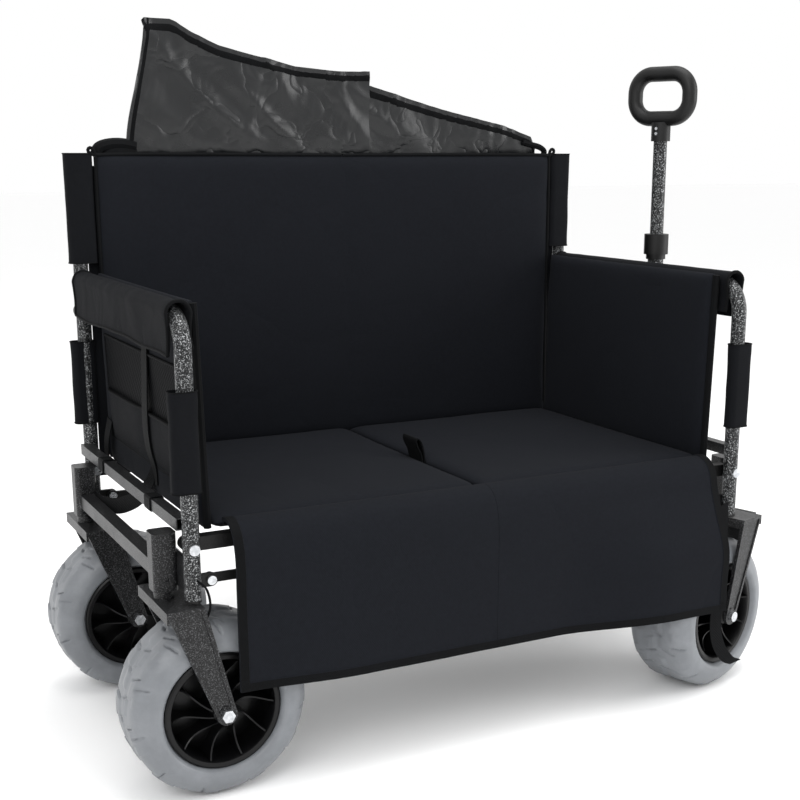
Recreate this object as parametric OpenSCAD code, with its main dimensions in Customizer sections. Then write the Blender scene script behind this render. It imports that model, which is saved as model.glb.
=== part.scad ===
// Folding beach cart standing as a two-seat bench: two tubular end frames on
// balloon-tyred casters, joined by a centre-folding deck, with soft goods.

/* [Bench] */
// Distance between the posts of the left and right end frames
bench_len = 870; // [780:1:960]
// Distance between a front post and the rear post behind it
bench_depth = 494; // [470:1:540]
// Height of the seat surface
seat_h = 372; // [368:1:400]
// Height of the arm tubes' centreline
arm_h = 636; // [610:1:680]
// Height of the top edge of the backrest
back_h = 828; // [790:1:880]
// Height of the highest corner of the stowed cover
cover_peak_h = 1025; // [960:1:1040]

/* [Frame] */
// Outer diameter of posts and arm tubes
tube_d = 22; // [20:0.5:25]
// Wall of every round tube
tube_wall = 1.5; // [1.2:0.1:2]
// Radius of the bend at the front of each arm, at the centreline
bend_r = 45; // [35:1:60]
// Height of the lower end of the posts
post_foot_h = 277; // [276:1:284]
// Side of the square deck rails
rail_w = 18; // [16:0.5:20]
// Wall of every square tube
bar_wall = 1.5; // [1.2:0.1:2]
// Height of the deck rails' centreline and of the fold pivots
rail_h = 345; // [340:1:345]
// Side of the square upper cross bars
upper_bar_w = 16; // [12:1:16]
// Height of the upper cross bars' centreline
upper_bar_h = 376; // [376:1:384]
// Height of the lower cross bars' centreline
lower_bar_h = 306; // [304:1:312]
// Side of the lower cross bars
lower_bar_w = 20; // [16:1:22]
// Side of the square caster housings
housing_w = 32; // [28:1:34]
// Height of the top of the caster housings
housing_top_h = 359; // [350:1:365]

/* [Fold] */
// Half distance between the two deck pivots on each centre hub
hub_half = 26; // [22:1:30]
// Height of the lower fold links' centreline
link_h = 298; // [296:1:300]
// Depth of the flat fold links
link_w = 12; // [10:1:14]
// Thickness of the fold links, hubs and link brackets
plate_t = 5; // [4:0.5:5]
// Radius of the frame bolts and hub pins
pin_r = 4; // [3:0.5:5]
// Length of the seat strip that stays with each end frame
seat_strip_len = 110; // [105:1:125]

/* [Casters] */
// Outer diameter of the tyres
wheel_d = 240; // [220:1:246]
// Width of the tyres
tyre_w = 110; // [90:1:112]
// Outer diameter of the rims
rim_d = 156; // [140:1:170]
// Horizontal distance from the kingpin to the axle
trail = 58; // [50:1:64]
// Height of the top of the fork plates
fork_top_h = 270; // [266:1:271]
// Distance between the outer faces of a fork's arms
fork_w = 128; // [126:1:134]
// Thickness of the fork steel
fork_t = 4; // [3:0.5:4.5]
// Radius of the kingpins
kingpin_r = 8; // [7:0.5:9]
// Radius of the axle bolts
axle_r = 5; // [4:0.5:6]
// Angle at which the front right caster stands
front_right_turn = 197; // [190:1:200]
// Angle at which the rear right caster stands
rear_right_turn = 172; // [160:1:185]

/* [Pull handle] */
// Outer diameter of the outer handle tube
handle_d = 26; // [25:0.5:28]
// Outer diameter of the inner handle tube
inner_d = 22; // [20:0.5:22]
// Height of the handle's pivot
handle_pivot_h = 334; // [332:1:340]
// Height of the top of the collar
collar_top_h = 696; // [670:1:720]
// Length of inner tube showing between collar and grip
handle_show = 150; // [100:1:170]
// Width of the grip
grip_w = 123; // [110:1:140]
// Height of the grip's ring
grip_h = 94; // [84:1:110]
// Diameter of the grip's bar
grip_bar_d = 24; // [20:1:28]
// Angle of the grip about the pole
grip_turn = 23; // [-45:1:45]

/* [Soft goods] */
// Thickness of the seat pads
pad_t = 17.7; // [14:0.1:20]
// Thickness of the padded walls
wall_t = 13; // [8:0.5:15]
// Thickness of the front flap
flap_t = 8; // [5:0.5:10]
// Height of the lower hem of the front flap
flap_hem_h = 142; // [125:1:200]
// Width of the fabric sleeves over the arm tubes
sleeve_w = 34; // [30:1:38]
// Height of the fabric sleeves over the arm tubes
sleeve_h = 67; // [60:1:80]

/* [Clearances] */
// Radial clearance of turning and sliding metal fits
run_gap = 0.05; // [0.03:0.01:0.09]
// Radial clearance at the opened lower hub pivots
open_gap = 0.3; // [0.2:0.05:0.5]
// Gap between welded or fastened neighbours
seat_gap = 0.2; // [0.1:0.05:0.3]
// Gap between fabric and what it touches
soft_gap = 0.3; // [0.3:0.05:0.4]

/* [Hidden] */
$fn = 64;

half_len = bench_len / 2;
half_depth = bench_depth / 2;
tube_r = tube_d / 2;
big = 2000;

// The row frame stands the model in the middle of its own footprint.
front_reach = half_depth + 62;
rear_reach = half_depth + 28;
shift_y = (front_reach - rear_reach) / 2;

// Caster places
kingpin_x = half_len + rail_w / 2 + housing_w / 2;
kingpin_y = half_depth - tube_r - 17 - housing_w / 2;
wheel_r = wheel_d / 2;
housing_foot_h = fork_top_h + 12;
gusset_t = 4;

// Deck and fold
rail_y = half_depth - tube_r - rail_w / 2;
rail_inner_y = rail_y - rail_w / 2;
link_x = half_len - hub_half;
bracket_y = rail_y + rail_w / 2 + 2 + plate_t / 2;
outer_link_y = bracket_y - plate_t - soft_gap;
inner_link_y = outer_link_y - plate_t - soft_gap;
hub_plate_t = 3.2;
hub_plate_y = outer_link_y + plate_t / 2 + soft_gap;
pad_gap = 1.5;
pad_front_y = -half_depth + 25;
pad_rear_y = half_depth - 18;
strip_outer_x = half_len - 38.6;
strip_inner_x = strip_outer_x - seat_strip_len;
strip_swing_gap = 2.6;
slat_w = 30;
slat_t = 12;

// Backrest and cover
back_pivot_x = half_len - hub_half;
back_rear_y = half_depth + 1.2;
back_pivot_y = back_rear_y + soft_gap;
back_front_y = back_rear_y - wall_t - 0.7;
back_foot_h = seat_h + 1.5;
hinge_gap = 0.5;
fold_gap = 1.2;
cover_t = 13;
cover_foot_h = 600;

// Front flap
flap_inner_y = -half_depth - 21;
flap_bulge_y = flap_inner_y - 33;
flap_half_len = half_len - 50;
flap_yoke_h = rail_h - 10;

// Pull handle
handle_r = handle_d / 2;
inner_r = inner_d / 2;
handle_x = kingpin_x + 6;
collar_h = 41;
collar_r = 20;
grip_neck_h = collar_top_h + handle_show;
neck_r = 15.5;
neck_len = 30;
inner_foot_h = handle_pivot_h + 156;

module placed() {
    translate([0, shift_y, 0]) children();
}

module right_side() {
    mirror([1, 0, 0]) children();
}

module front_and_rear() {
    children();
    mirror([0, 1, 0]) children();
}

// A bar or pin along +Y that starts at the given point.
module pin_y(x, y, z, len, r) {
    translate([x, y, z]) rotate([-90, 0, 0]) cylinder(h = len, r = r);
}

// A flat plate in the XZ plane, its thickness along +Y from y.
module plate_xz(y, t) {
    translate([0, y + t, 0]) rotate([90, 0, 0]) linear_extrude(t) children();
}

module bolt_y(x, y, z, len, head_r, head_t) {
    pin_y(x, y, z, len, pin_r - run_gap);
    pin_y(x, y - head_t, z, head_t, head_r);
    pin_y(x, y + len, z, head_t, head_r);
}

// ---------------------------------------------------------------- end frames

module arm_run(r, extra) {
    translate([-half_len, -half_depth, post_foot_h - extra])
        cylinder(h = arm_h - bend_r - post_foot_h + extra, r = r);
    translate([-half_len, -half_depth + bend_r, arm_h - bend_r])
        rotate([90, 0, -90])
        rotate_extrude(angle = 90) translate([bend_r, 0]) circle(r);
    pin_y(-half_len, -half_depth + bend_r, arm_h, bench_depth - bend_r, r);
}

module rear_post_space(gap) {
    translate([-half_len, half_depth, 0]) cylinder(h = big, r = tube_r + gap);
}

module arm_tube() {
    color("dimgray") difference() {
        arm_run(tube_r, 0);
        arm_run(tube_r - tube_wall, 1);
        rear_post_space(seat_gap);
        pin_y(-half_len, -half_depth - tube_d, rail_h, tube_d * 2, pin_r);
    }
}

module rear_post() {
    top = back_h - 10;
    color("dimgray") translate([-half_len, half_depth, post_foot_h]) difference() {
        cylinder(h = top - post_foot_h, r = tube_r);
        translate([0, 0, -1]) cylinder(h = top, r = tube_r - tube_wall);
        pin_y(0, -tube_d, rail_h - post_foot_h, tube_d * 2, pin_r);
    }
}

module square_tube_y(x, z, half, side) {
    translate([x, 0, z]) difference() {
        cube([side, 2 * half, side], center = true);
        cube([side - 2 * bar_wall, 2 * half + 2, side - 2 * bar_wall], center = true);
    }
}

// The upper bar is welded to the posts' outer sides, so that the lifting deck
// rails pass it.
module cross_bars() {
    color("dimgray") {
        difference() {
            square_tube_y(-half_len - upper_bar_w / 2 - 1, upper_bar_h,
                          half_depth - 4, upper_bar_w);
            for (s = [-1, 1]) translate([-half_len, s * half_depth, 0])
                cylinder(h = big, r = tube_r + seat_gap);
        }
        square_tube_y(-kingpin_x, lower_bar_h,
                      kingpin_y - housing_w / 2 - seat_gap, lower_bar_w);
    }
}

module rounded_square(side, r) {
    square([side - 2 * r, side], center = true);
    square([side, side - 2 * r], center = true);
    for (sx = [-1, 1], sy = [-1, 1])
        translate([sx * (side / 2 - r), sy * (side / 2 - r)]) circle(r);
}

module front_housing() {
    corner_r = 7;
    lock_hole = 6;
    gusset_top = rail_h - rail_w / 2 - 4;
    difference() {
        union() {
            translate([-kingpin_x, -kingpin_y, housing_foot_h])
                linear_extrude(housing_top_h - housing_foot_h)
                rounded_square(housing_w, corner_r);
            translate([-kingpin_x + housing_w / 2 - 1, -half_depth + 3, housing_foot_h + 6])
                cube([gusset_t + 1, half_depth - kingpin_y + 12, gusset_top - housing_foot_h - 6]);
        }
        translate([-kingpin_x, -kingpin_y, 0])
            cylinder(h = housing_top_h - 6, r = kingpin_r + run_gap);
        translate([-kingpin_x - lock_hole / 2, -kingpin_y - housing_w / 2 - 1,
                   housing_foot_h + 13])
            cube([lock_hole, 4, lock_hole]);
        translate([-half_len, -half_depth, 0]) cylinder(h = big, r = tube_r + seat_gap);
    }
}

module caster_housings() {
    color("dimgray") front_and_rear() front_housing();
}

module foot_plug() {
    translate([-half_len, -half_depth, post_foot_h - 3]) {
        cylinder(h = 3 - seat_gap, r = tube_r);
        cylinder(h = 18, r = tube_r - tube_wall - seat_gap);
    }
}

module end_caps() {
    plug_r = 11;
    stay_cap_h = arm_h - 46;
    top = back_h - 10;
    color("#1c1c1e") {
        front_and_rear() foot_plug();
        translate([-half_len, half_depth, top + seat_gap]) {
            cylinder(h = 4, r = tube_r + 0.5);
            translate([0, 0, -16]) cylinder(h = 16, r = tube_r - tube_wall - seat_gap);
        }
        difference() {
            pin_y(-half_len, half_depth, stay_cap_h, tube_r + 8, plug_r);
            rear_post_space(seat_gap);
        }
    }
}

// The two fold bolts through post and rail, and the two link bolts. A link
// that runs inside the other one gets a spacer between it and the bracket.
module frame_bolts(link_y) {
    head_t = 4;
    head_r = 7;
    fold_len = tube_d + rail_w + 1;
    link_out = bracket_y + plate_t / 2 + 0.5;
    link_in = link_y - plate_t / 2 - 0.5;
    spacer_out = bracket_y - plate_t / 2 - seat_gap;
    spacer_in = link_y + plate_t / 2 + seat_gap;
    color("silver") front_and_rear() {
        bolt_y(-half_len, -half_depth - tube_r - 0.5, rail_h, fold_len, head_r, head_t);
        bolt_y(-link_x, -link_out, link_h, link_out - link_in, head_r - 1, head_t);
        if (spacer_out > spacer_in + 1)
            pin_y(-link_x, -spacer_out, link_h, spacer_out - spacer_in, head_r - 1);
    }
}

module link_brackets() {
    eye_r = 9;
    color("#2a2a2c") front_and_rear() difference() {
        plate_xz(-bracket_y - plate_t / 2, plate_t) {
            translate([-link_x, link_h]) circle(eye_r);
            translate([-half_len, link_h - eye_r]) square([hub_half, 2 * eye_r]);
        }
        translate([-half_len, -half_depth, 0]) cylinder(h = big, r = tube_r + seat_gap);
        pin_y(-link_x, -half_depth - 20, link_h, 60, pin_r);
    }
}

// ------------------------------------------------------------------- casters

// Where the tangent from point p meets a circle; side is 1 or -1.
function tangent_point(p, c, r, side) =
    let (d = p - c, len = norm(d), ang = atan2(d[1], d[0]) + side * acos(r / len))
    [c[0] + r * cos(ang), c[1] + r * sin(ang)];

module arm_outline(inset) {
    eye = [trail, wheel_r];
    eye_r = 14 - inset;
    back_top = [-16 + inset, fork_top_h - inset];
    front_top = [34 - inset, fork_top_h - inset];
    neck_r = eye_r - 0.6;
    polygon([back_top, front_top,
             tangent_point(front_top, eye, neck_r, -1),
             tangent_point(back_top, eye, neck_r, 1)]);
    translate(eye) circle(eye_r);
}

module fork_arm() {
    rib_t = 1.8;
    plate_xz(fork_w / 2 - rib_t - fork_t, fork_t) arm_outline(0);
    plate_xz(fork_w / 2 - rib_t, rib_t) difference() {
        arm_outline(0);
        arm_outline(5);
    }
    plate_xz(fork_w / 2 - rib_t, rib_t) translate([trail, wheel_r]) circle(12);
}

// One fork about its kingpin, trailing towards +X, with its brake ears.
module fork(with_ears) {
    flange_h = 15;
    flange_t = 3;
    plate_back = -16;
    plate_len = 50;
    ear_x = plate_back - 8.5;
    ear_h = fork_top_h - 20;
    difference() {
        union() {
            front_and_rear() fork_arm();
            translate([plate_back, -fork_w / 2, fork_top_h - fork_t])
                cube([plate_len, fork_w, fork_t]);
            for (x = [plate_back, plate_back + plate_len - flange_t])
                translate([x, -fork_w / 2, fork_top_h - flange_h])
                    cube([flange_t, fork_w, flange_h]);
            translate([0, 0, fork_top_h - fork_t])
                cylinder(h = housing_top_h - 8 - fork_top_h + fork_t, r = kingpin_r);
            translate([0, 0, fork_top_h])
                cylinder(h = housing_foot_h - fork_top_h - seat_gap, r = kingpin_r + 5);
            if (with_ears) front_and_rear()
                translate([0, 22, 0]) plate_xz(0, 4) {
                    translate([ear_x, ear_h]) circle(6);
                    translate([ear_x, ear_h - 3]) square([8.5 + flange_t, 9]);
                }
        }
        pin_y(trail, -fork_w, wheel_r, 2 * fork_w, axle_r);
        pin_y(ear_x, -40, ear_h, 80, pin_r);
    }
}

module axle_bolt() {
    head_t = 6;
    half = fork_w / 2 + seat_gap;
    pin_y(trail, -half, wheel_r, 2 * half, axle_r - run_gap);
    translate([trail, -half, wheel_r]) rotate([90, 0, 0]) cylinder(h = head_t, r = 9, $fn = 6);
    pin_y(trail, half, wheel_r, head_t, 8);
}

module brake_lever() {
    ear_x = -24.5;
    ear_h = fork_top_h - 20;
    half_w = 21;
    pedal_len = 46;
    pedal_t = 4;
    shoe_len = 44;
    shoe_lean = 25;
    color("#1c1c1e") translate([ear_x, 0, ear_h]) {
        pin_y(0, -28, 0, 56, pin_r - run_gap);
        plate_xz(-half_w, 2 * half_w) {
            circle(6.5);
            translate([-pedal_len, -1]) square([pedal_len, pedal_t]);
            translate([-pedal_len - 2, -3]) square([6, 2 * pedal_t]);
            rotate(-shoe_lean) translate([-pedal_t / 2, -shoe_len])
                square([pedal_t, shoe_len]);
        }
    }
}

// The tyre's section: upright sides, then round shoulders and a flat crown.
module tyre_section() {
    shoulder_r = 26;
    half_w = tyre_w / 2;
    rim_r = rim_d / 2;
    intersection() {
        union() {
            for (s = [-1, 1])
                translate([wheel_r - shoulder_r, s * (half_w - shoulder_r)])
                    circle(shoulder_r);
            translate([rim_r - 1, -half_w + shoulder_r])
                square([wheel_r - rim_r + 1, tyre_w - 2 * shoulder_r]);
            translate([rim_r - 1, -half_w])
                square([wheel_r - shoulder_r - rim_r + 1, tyre_w]);
        }
        translate([rim_r, -tyre_w]) square([wheel_r, 2 * tyre_w]);
    }
}

module about_axle() {
    translate([trail, 0, wheel_r]) rotate([90, 0, 0]) children();
}

module tyre() {
    color("#b9bcc0") about_axle() rotate_extrude($fn = 96) tyre_section();
}

module rim() {
    barrel_t = 6;
    barrel_w = tyre_w - 22;
    hub_r = 17;
    hub_half_w = fork_w / 2 - 1.8 - fork_t - 1;
    spokes = 10;
    rim_r = rim_d / 2 - seat_gap;
    color("#161617") about_axle() difference() {
        union() {
            difference() {
                cylinder(h = barrel_w, r = rim_r, center = true, $fn = 96);
                cylinder(h = barrel_w + 2, r = rim_r - barrel_t, center = true, $fn = 96);
            }
            cylinder(h = 5, r = rim_r - 1, center = true, $fn = 96);
            cylinder(h = 2 * hub_half_w, r = hub_r, center = true);
            for (i = [0:spokes - 1]) rotate([0, 0, i * 360 / spokes])
                translate([hub_r - 3, -2, -barrel_w / 2 + 10])
                    cube([rim_r - hub_r - 1, 4, barrel_w - 20]);
        }
        cylinder(h = big, r = axle_r + run_gap, center = true);
    }
}

module at_left_caster() {
    translate([-kingpin_x, -kingpin_y, 0]) children();
}

module at_rear_left_caster() {
    translate([-kingpin_x, kingpin_y, 0]) children();
}

module at_front_right_caster() {
    translate([kingpin_x, -kingpin_y, 0]) rotate([0, 0, front_right_turn]) children();
}

module at_rear_right_caster() {
    translate([kingpin_x, kingpin_y, 0]) rotate([0, 0, rear_right_turn]) children();
}

// ---------------------------------------------------------------- deck, hubs

module deck_frame() {
    end_r = rail_w / 2;
    rail_len = half_len - hub_half;
    solid_end = 14;
    color("#39393b") {
        front_and_rear() difference() {
            plate_xz(-rail_y - rail_w / 2, rail_w) {
                translate([-half_len, rail_h - end_r]) square([rail_len, rail_w]);
                for (x = [-half_len, -hub_half]) translate([x, rail_h]) circle(end_r);
            }
            translate([-half_len + solid_end, -rail_y - rail_w / 2 + bar_wall,
                       rail_h - end_r + bar_wall])
                cube([rail_len - 2 * solid_end, rail_w - 2 * bar_wall, rail_w - 2 * bar_wall]);
            for (x = [-half_len, -hub_half])
                pin_y(x, -rail_y - rail_w, rail_h, 2 * rail_w, pin_r + run_gap);
        }
        for (x = [-strip_inner_x + 30, -hub_half - 60])
            translate([x, -rail_inner_y + seat_gap, rail_h + end_r - 2 - slat_t])
                cube([slat_w, 2 * (rail_inner_y - seat_gap), slat_t]);
    }
}

module seat_pad() {
    color("#202123") translate([-strip_inner_x, pad_front_y, seat_h - pad_t])
        cube([strip_inner_x - pad_gap, pad_rear_y - pad_front_y, pad_t]);
}

module seat_strip() {
    half = rail_inner_y - 2;
    color("#202123") translate([-strip_outer_x, -half, seat_h - pad_t])
        cube([seat_strip_len - strip_swing_gap, 2 * half, pad_t]);
}

module hub_outline() {
    eye_r = 8;
    for (p = [[-hub_half, rail_h], [hub_half, rail_h], [0, link_h]])
        translate(p) circle(eye_r);
    polygon([[-hub_half, rail_h + eye_r], [hub_half, rail_h + eye_r],
             [hub_half + eye_r, rail_h], [eye_r, link_h], [0, link_h - eye_r],
             [-eye_r, link_h], [-hub_half - eye_r, rail_h]]);
}

module front_hub() {
    upper_pin = hub_plate_y - rail_inner_y + 4;
    lower_pin = hub_plate_y - inner_link_y + plate_t / 2 + 2;
    plate_xz(-hub_plate_y - hub_plate_t, hub_plate_t) hub_outline();
    for (x = [-hub_half, hub_half]) {
        pin_y(x, -hub_plate_y, rail_h, upper_pin, pin_r);
        pin_y(x, -rail_inner_y + seat_gap, rail_h, 4 - seat_gap, pin_r + 3);
        pin_y(x, -hub_plate_y - hub_plate_t - 3, rail_h, 3, pin_r + 2);
    }
    pin_y(0, -hub_plate_y, link_h, lower_pin, pin_r);
    pin_y(0, -inner_link_y + plate_t / 2 + seat_gap, link_h, 2, pin_r + 3);
    pin_y(0, -hub_plate_y - hub_plate_t - 3, link_h, 3, pin_r + 2);
}

module centre_hubs() {
    tie_r = 6;
    tie_h = (rail_h + link_h) / 2;
    color("#2a2a2c") {
        front_and_rear() front_hub();
        pin_y(0, -hub_plate_y, tie_h, 2 * hub_plate_y, tie_r);
    }
}

module pull_strap() {
    strap_w = 45;
    strap_t = 1.8;
    strap_y = -28;
    strap_rise = 30;
    tie_top = (rail_h + link_h) / 2 + 6;
    color("#161617") translate([-strap_t / 2, strap_y - strap_w / 2, tie_top + seat_gap])
        cube([strap_t, strap_w, seat_h + strap_rise - tie_top]);
}

module link(side, y) {
    end_r = link_w / 2;
    color("#2a2a2c") front_and_rear() difference() {
        plate_xz(-y - plate_t / 2, plate_t) {
            translate([side * link_x, link_h]) circle(end_r + 2);
            translate([0, link_h]) circle(end_r + 2);
            translate([side > 0 ? 0 : -link_x, link_h - end_r]) square([link_x, link_w]);
        }
        pin_y(side * link_x, -y - 20, link_h, 40, pin_r + run_gap);
        pin_y(0, -y - 20, link_h, 40, pin_r + open_gap);
    }
}

// ---------------------------------------------------------------- soft goods

module arm_sleeve() {
    front = -half_depth + bend_r - 32;
    rear = half_depth - tube_r - soft_gap - 2;
    crown_r = 8;
    top = arm_h + tube_r + 6;
    color("#202123") difference() {
        translate([-half_len, rear, 0]) rotate([90, 0, 0]) linear_extrude(rear - front) {
            translate([-sleeve_w / 2, top - sleeve_h]) square([sleeve_w, sleeve_h - crown_r]);
            translate([-sleeve_w / 2 + crown_r, top - crown_r])
                square([sleeve_w - 2 * crown_r, crown_r]);
            for (s = [-1, 1])
                translate([s * (sleeve_w / 2 - crown_r), top - crown_r]) circle(crown_r);
        }
        arm_run(tube_r + soft_gap, 1);
    }
}

// The end wall leans in towards the seat at its foot.
panel_top_h = arm_h + tube_r + 4;
panel_foot_h = rail_h + rail_w / 2 + 1.2;
panel_top_x = half_len - sleeve_w / 2 - soft_gap;
panel_foot_x = strip_outer_x + soft_gap + wall_t;

// Where the end wall's outer face is at height h.
function panel_x(h) = panel_foot_x
    + (panel_top_x - panel_foot_x) * (h - panel_foot_h) / (panel_top_h - panel_foot_h);

// A slab on the end wall's slope, from low to high, set out from its outer face.
module panel_slab(low, high, out, t, half) {
    translate([0, half, 0]) rotate([90, 0, 0]) linear_extrude(2 * half)
        polygon([[-panel_x(high) - out, high], [-panel_x(high) - out + t, high],
                 [-panel_x(low) - out + t, low], [-panel_x(low) - out, low]]);
}

module side_panel() {
    color("#202123")
        panel_slab(panel_foot_h, panel_top_h, 0, wall_t, rail_inner_y - soft_gap);
}

module post_sleeves() {
    tab_low = 417;
    tab_high = 544;
    wing_low = arm_h + tube_r + 17;
    side_out = 23;
    side_in = 15;
    color("#202123") {
        difference() {
            front_and_rear()
                translate([-half_len - side_out, -half_depth - 13, tab_low])
                    cube([side_out + side_in, tube_r + 13 - 0.6, tab_high - tab_low]);
            for (s = [-1, 1]) translate([-half_len, s * half_depth, 0])
                cylinder(h = big, r = tube_r + soft_gap);
        }
        difference() {
            translate([-half_len - 17, half_depth - 13, wing_low])
                cube([17 + hub_half + hinge_gap - soft_gap, 26, back_h - 2 - wing_low]);
            translate([-half_len, half_depth, 0])
                cylinder(h = back_h - 5, r = tube_r + soft_gap + 0.5);
        }
    }
}

module pocket() {
    pocket_t = 9;
    color("#202123")
        panel_slab(402, 552, pocket_t + soft_gap, pocket_t, rail_inner_y - 26);
}

module back_panel() {
    bevel = 36;
    color("#202123") translate([0, 0, back_foot_h]) linear_extrude(back_h - back_foot_h)
        polygon([[-back_pivot_x + hinge_gap, back_rear_y], [-fold_gap, back_rear_y],
                 [-bevel, back_front_y], [-back_pivot_x + hinge_gap, back_front_y]]);
}

module cover_slab(outline) {
    color("#2b2c2e") plate_xz(back_pivot_y + soft_gap, cover_t) polygon(outline);
}

module left_cover() {
    outer = -back_pivot_x + 24;
    peak = cover_peak_h;
    cover_slab([[outer, cover_foot_h], [-soft_gap, cover_foot_h], [-soft_gap, peak - 69],
                [-145, peak - 49], [-219, peak - 37], [-320, peak],
                [-355, back_h + 3], [outer, back_h]]);
}

module right_cover() {
    outer = back_pivot_x - 24;
    peak = cover_peak_h;
    cover_slab([[outer, cover_foot_h], [soft_gap, cover_foot_h], [soft_gap, peak - 69],
                [52, peak - 78], [122, peak - 107], [320, peak - 152],
                [373, peak - 169], [outer, back_h]]);
}

// The flap hangs from the seat's front edge, over the front rail.
module flap_yoke(x, len) {
    edge_y = pad_front_y - soft_gap;
    translate([x, 0, 0]) rotate([90, 0, 90]) linear_extrude(len)
        polygon([[edge_y, seat_h - 2], [edge_y, seat_h - pad_t + 2],
                 [-half_depth + 4, seat_h - pad_t + 2],
                 [flap_inner_y, flap_yoke_h], [flap_inner_y - flap_t, flap_yoke_h],
                 [flap_inner_y - flap_t, flap_yoke_h + 6], [-half_depth + 2, seat_h - 4]]);
}

module left_flap() {
    color("#202123") {
        flap_yoke(-flap_half_len, flap_half_len - soft_gap);
        translate([-flap_half_len, flap_inner_y - flap_t, flap_hem_h])
            cube([flap_half_len - soft_gap, flap_t, flap_yoke_h - flap_hem_h + 0.5]);
    }
}

// The front right wheel pushes this half of the flap outwards.
module right_flap() {
    bulge_from = 120;
    bulge_to = flap_half_len - 105;
    right_edge = flap_half_len + 5;
    inner = [[soft_gap, flap_inner_y], [bulge_from, flap_inner_y],
             [bulge_to, flap_bulge_y], [right_edge, flap_bulge_y]];
    outer = [for (i = [3:-1:0]) [inner[i][0], inner[i][1] - flap_t]];
    color("#202123") {
        flap_yoke(soft_gap, right_edge - soft_gap);
        translate([0, 0, flap_hem_h])
            linear_extrude(flap_yoke_h - flap_hem_h - 40) polygon(concat(inner, outer));
        translate([soft_gap, flap_inner_y - flap_t, flap_yoke_h - 41])
            cube([right_edge - soft_gap, flap_t, 41.5]);
        translate([bulge_from, flap_bulge_y - flap_t, flap_yoke_h - 44])
            cube([right_edge - bulge_from, flap_inner_y - flap_bulge_y + flap_t, 4.5]);
    }
}

// --------------------------------------------------------------- pull handle

module handle_bracket() {
    ear_t = 4;
    ear_y = handle_r + 1;
    bar_top = lower_bar_h + lower_bar_w / 2 + seat_gap;
    color("#2a2a2c") {
        front_and_rear() difference() {
            union() {
                plate_xz(-ear_y - ear_t, ear_t) {
                    translate([handle_x, handle_pivot_h]) circle(12);
                    translate([kingpin_x - 8, bar_top])
                        square([handle_x - kingpin_x + 20, handle_pivot_h - bar_top]);
                }
                translate([kingpin_x - 8, -ear_y - ear_t - 10, bar_top])
                    cube([handle_x - kingpin_x + 20, 12, 3]);
            }
            pin_y(handle_x, -60, handle_pivot_h, 120, pin_r + run_gap);
        }
        bolt_y(handle_x, -ear_y - ear_t - seat_gap, handle_pivot_h,
               2 * (ear_y + ear_t + seat_gap), 7, 4);
    }
}

module handle_outer_tube() {
    foot = handle_pivot_h + 12;
    lug_half = handle_r - 1;
    color("dimgray") difference() {
        union() {
            translate([handle_x, 0, foot]) difference() {
                cylinder(h = collar_top_h - 6 - foot, r = handle_r);
                translate([0, 0, 4])
                    cylinder(h = big, r = inner_r + run_gap);
            }
            pin_y(handle_x, -lug_half, handle_pivot_h, 2 * lug_half, 11);
            translate([handle_x - 11, -lug_half, handle_pivot_h])
                cube([22, 2 * lug_half, 13]);
        }
        pin_y(handle_x, -60, handle_pivot_h, 120, pin_r + run_gap);
    }
}

module handle_collar() {
    lip = 5;
    skirt_h = 8;
    color("#161617") translate([handle_x, 0, collar_top_h - collar_h]) difference() {
        union() {
            cylinder(h = collar_h, r = handle_r + 3);
            translate([0, 0, skirt_h]) cylinder(h = collar_h - skirt_h, r = collar_r);
        }
        translate([0, 0, -1]) cylinder(h = collar_h + 1 - lip, r = handle_r + seat_gap);
        cylinder(h = big, r = inner_r + run_gap);
    }
}

module handle_inner_tube() {
    top = grip_neck_h + neck_len - 6;
    color("dimgray") translate([handle_x, 0, inner_foot_h]) difference() {
        cylinder(h = top - inner_foot_h, r = inner_r);
        translate([0, 0, -1]) cylinder(h = big, r = inner_r - tube_wall);
    }
}

// A closed ring of round bar: four straight runs and four quarter bends.
module grip_ring() {
    bar_r = grip_bar_d / 2;
    corner = 30;
    half_w = grip_w / 2 - bar_r - corner;
    half_h = grip_h / 2 - bar_r - corner;
    for (i = [0:3]) {
        sx = (i == 0 || i == 3) ? 1 : -1;
        sy = i < 2 ? 1 : -1;
        translate([sx * half_w, sy * half_h, 0]) rotate([0, 0, i * 90])
            rotate_extrude(angle = 90) translate([corner, 0]) circle(bar_r);
    }
    for (s = [-1, 1]) {
        translate([-half_w, s * (half_h + corner), 0]) rotate([0, 90, 0])
            cylinder(h = 2 * half_w, r = bar_r);
        translate([s * (half_w + corner), half_h, 0]) rotate([90, 0, 0])
            cylinder(h = 2 * half_h, r = bar_r);
    }
}

module at_grip() {
    translate([handle_x, 0, grip_neck_h]) rotate([0, 0, grip_turn]) children();
}

module handle_grip() {
    ring_mid = neck_len + grip_h / 2 - 6;
    color("#161617") at_grip() difference() {
        union() {
            translate([0, 0, ring_mid]) rotate([90, 0, 90]) grip_ring();
            cylinder(h = neck_len, r = neck_r);
        }
        translate([0, 0, -1]) cylinder(h = neck_len - 4, r = inner_r + seat_gap);
        for (z = [12, 20])
            translate([-neck_r - 3, 0, z]) rotate([0, 90, 0])
                cylinder(h = neck_r - inner_r + 3 - seat_gap, r = 2.6);
    }
}

module grip_screws() {
    color("silver") at_grip() for (z = [12, 20])
        translate([-neck_r - 1, 0, z]) rotate([0, 90, 0]) cylinder(h = 3, r = 2.4);
}

// -------------------------------------------------------------------- output

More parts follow.
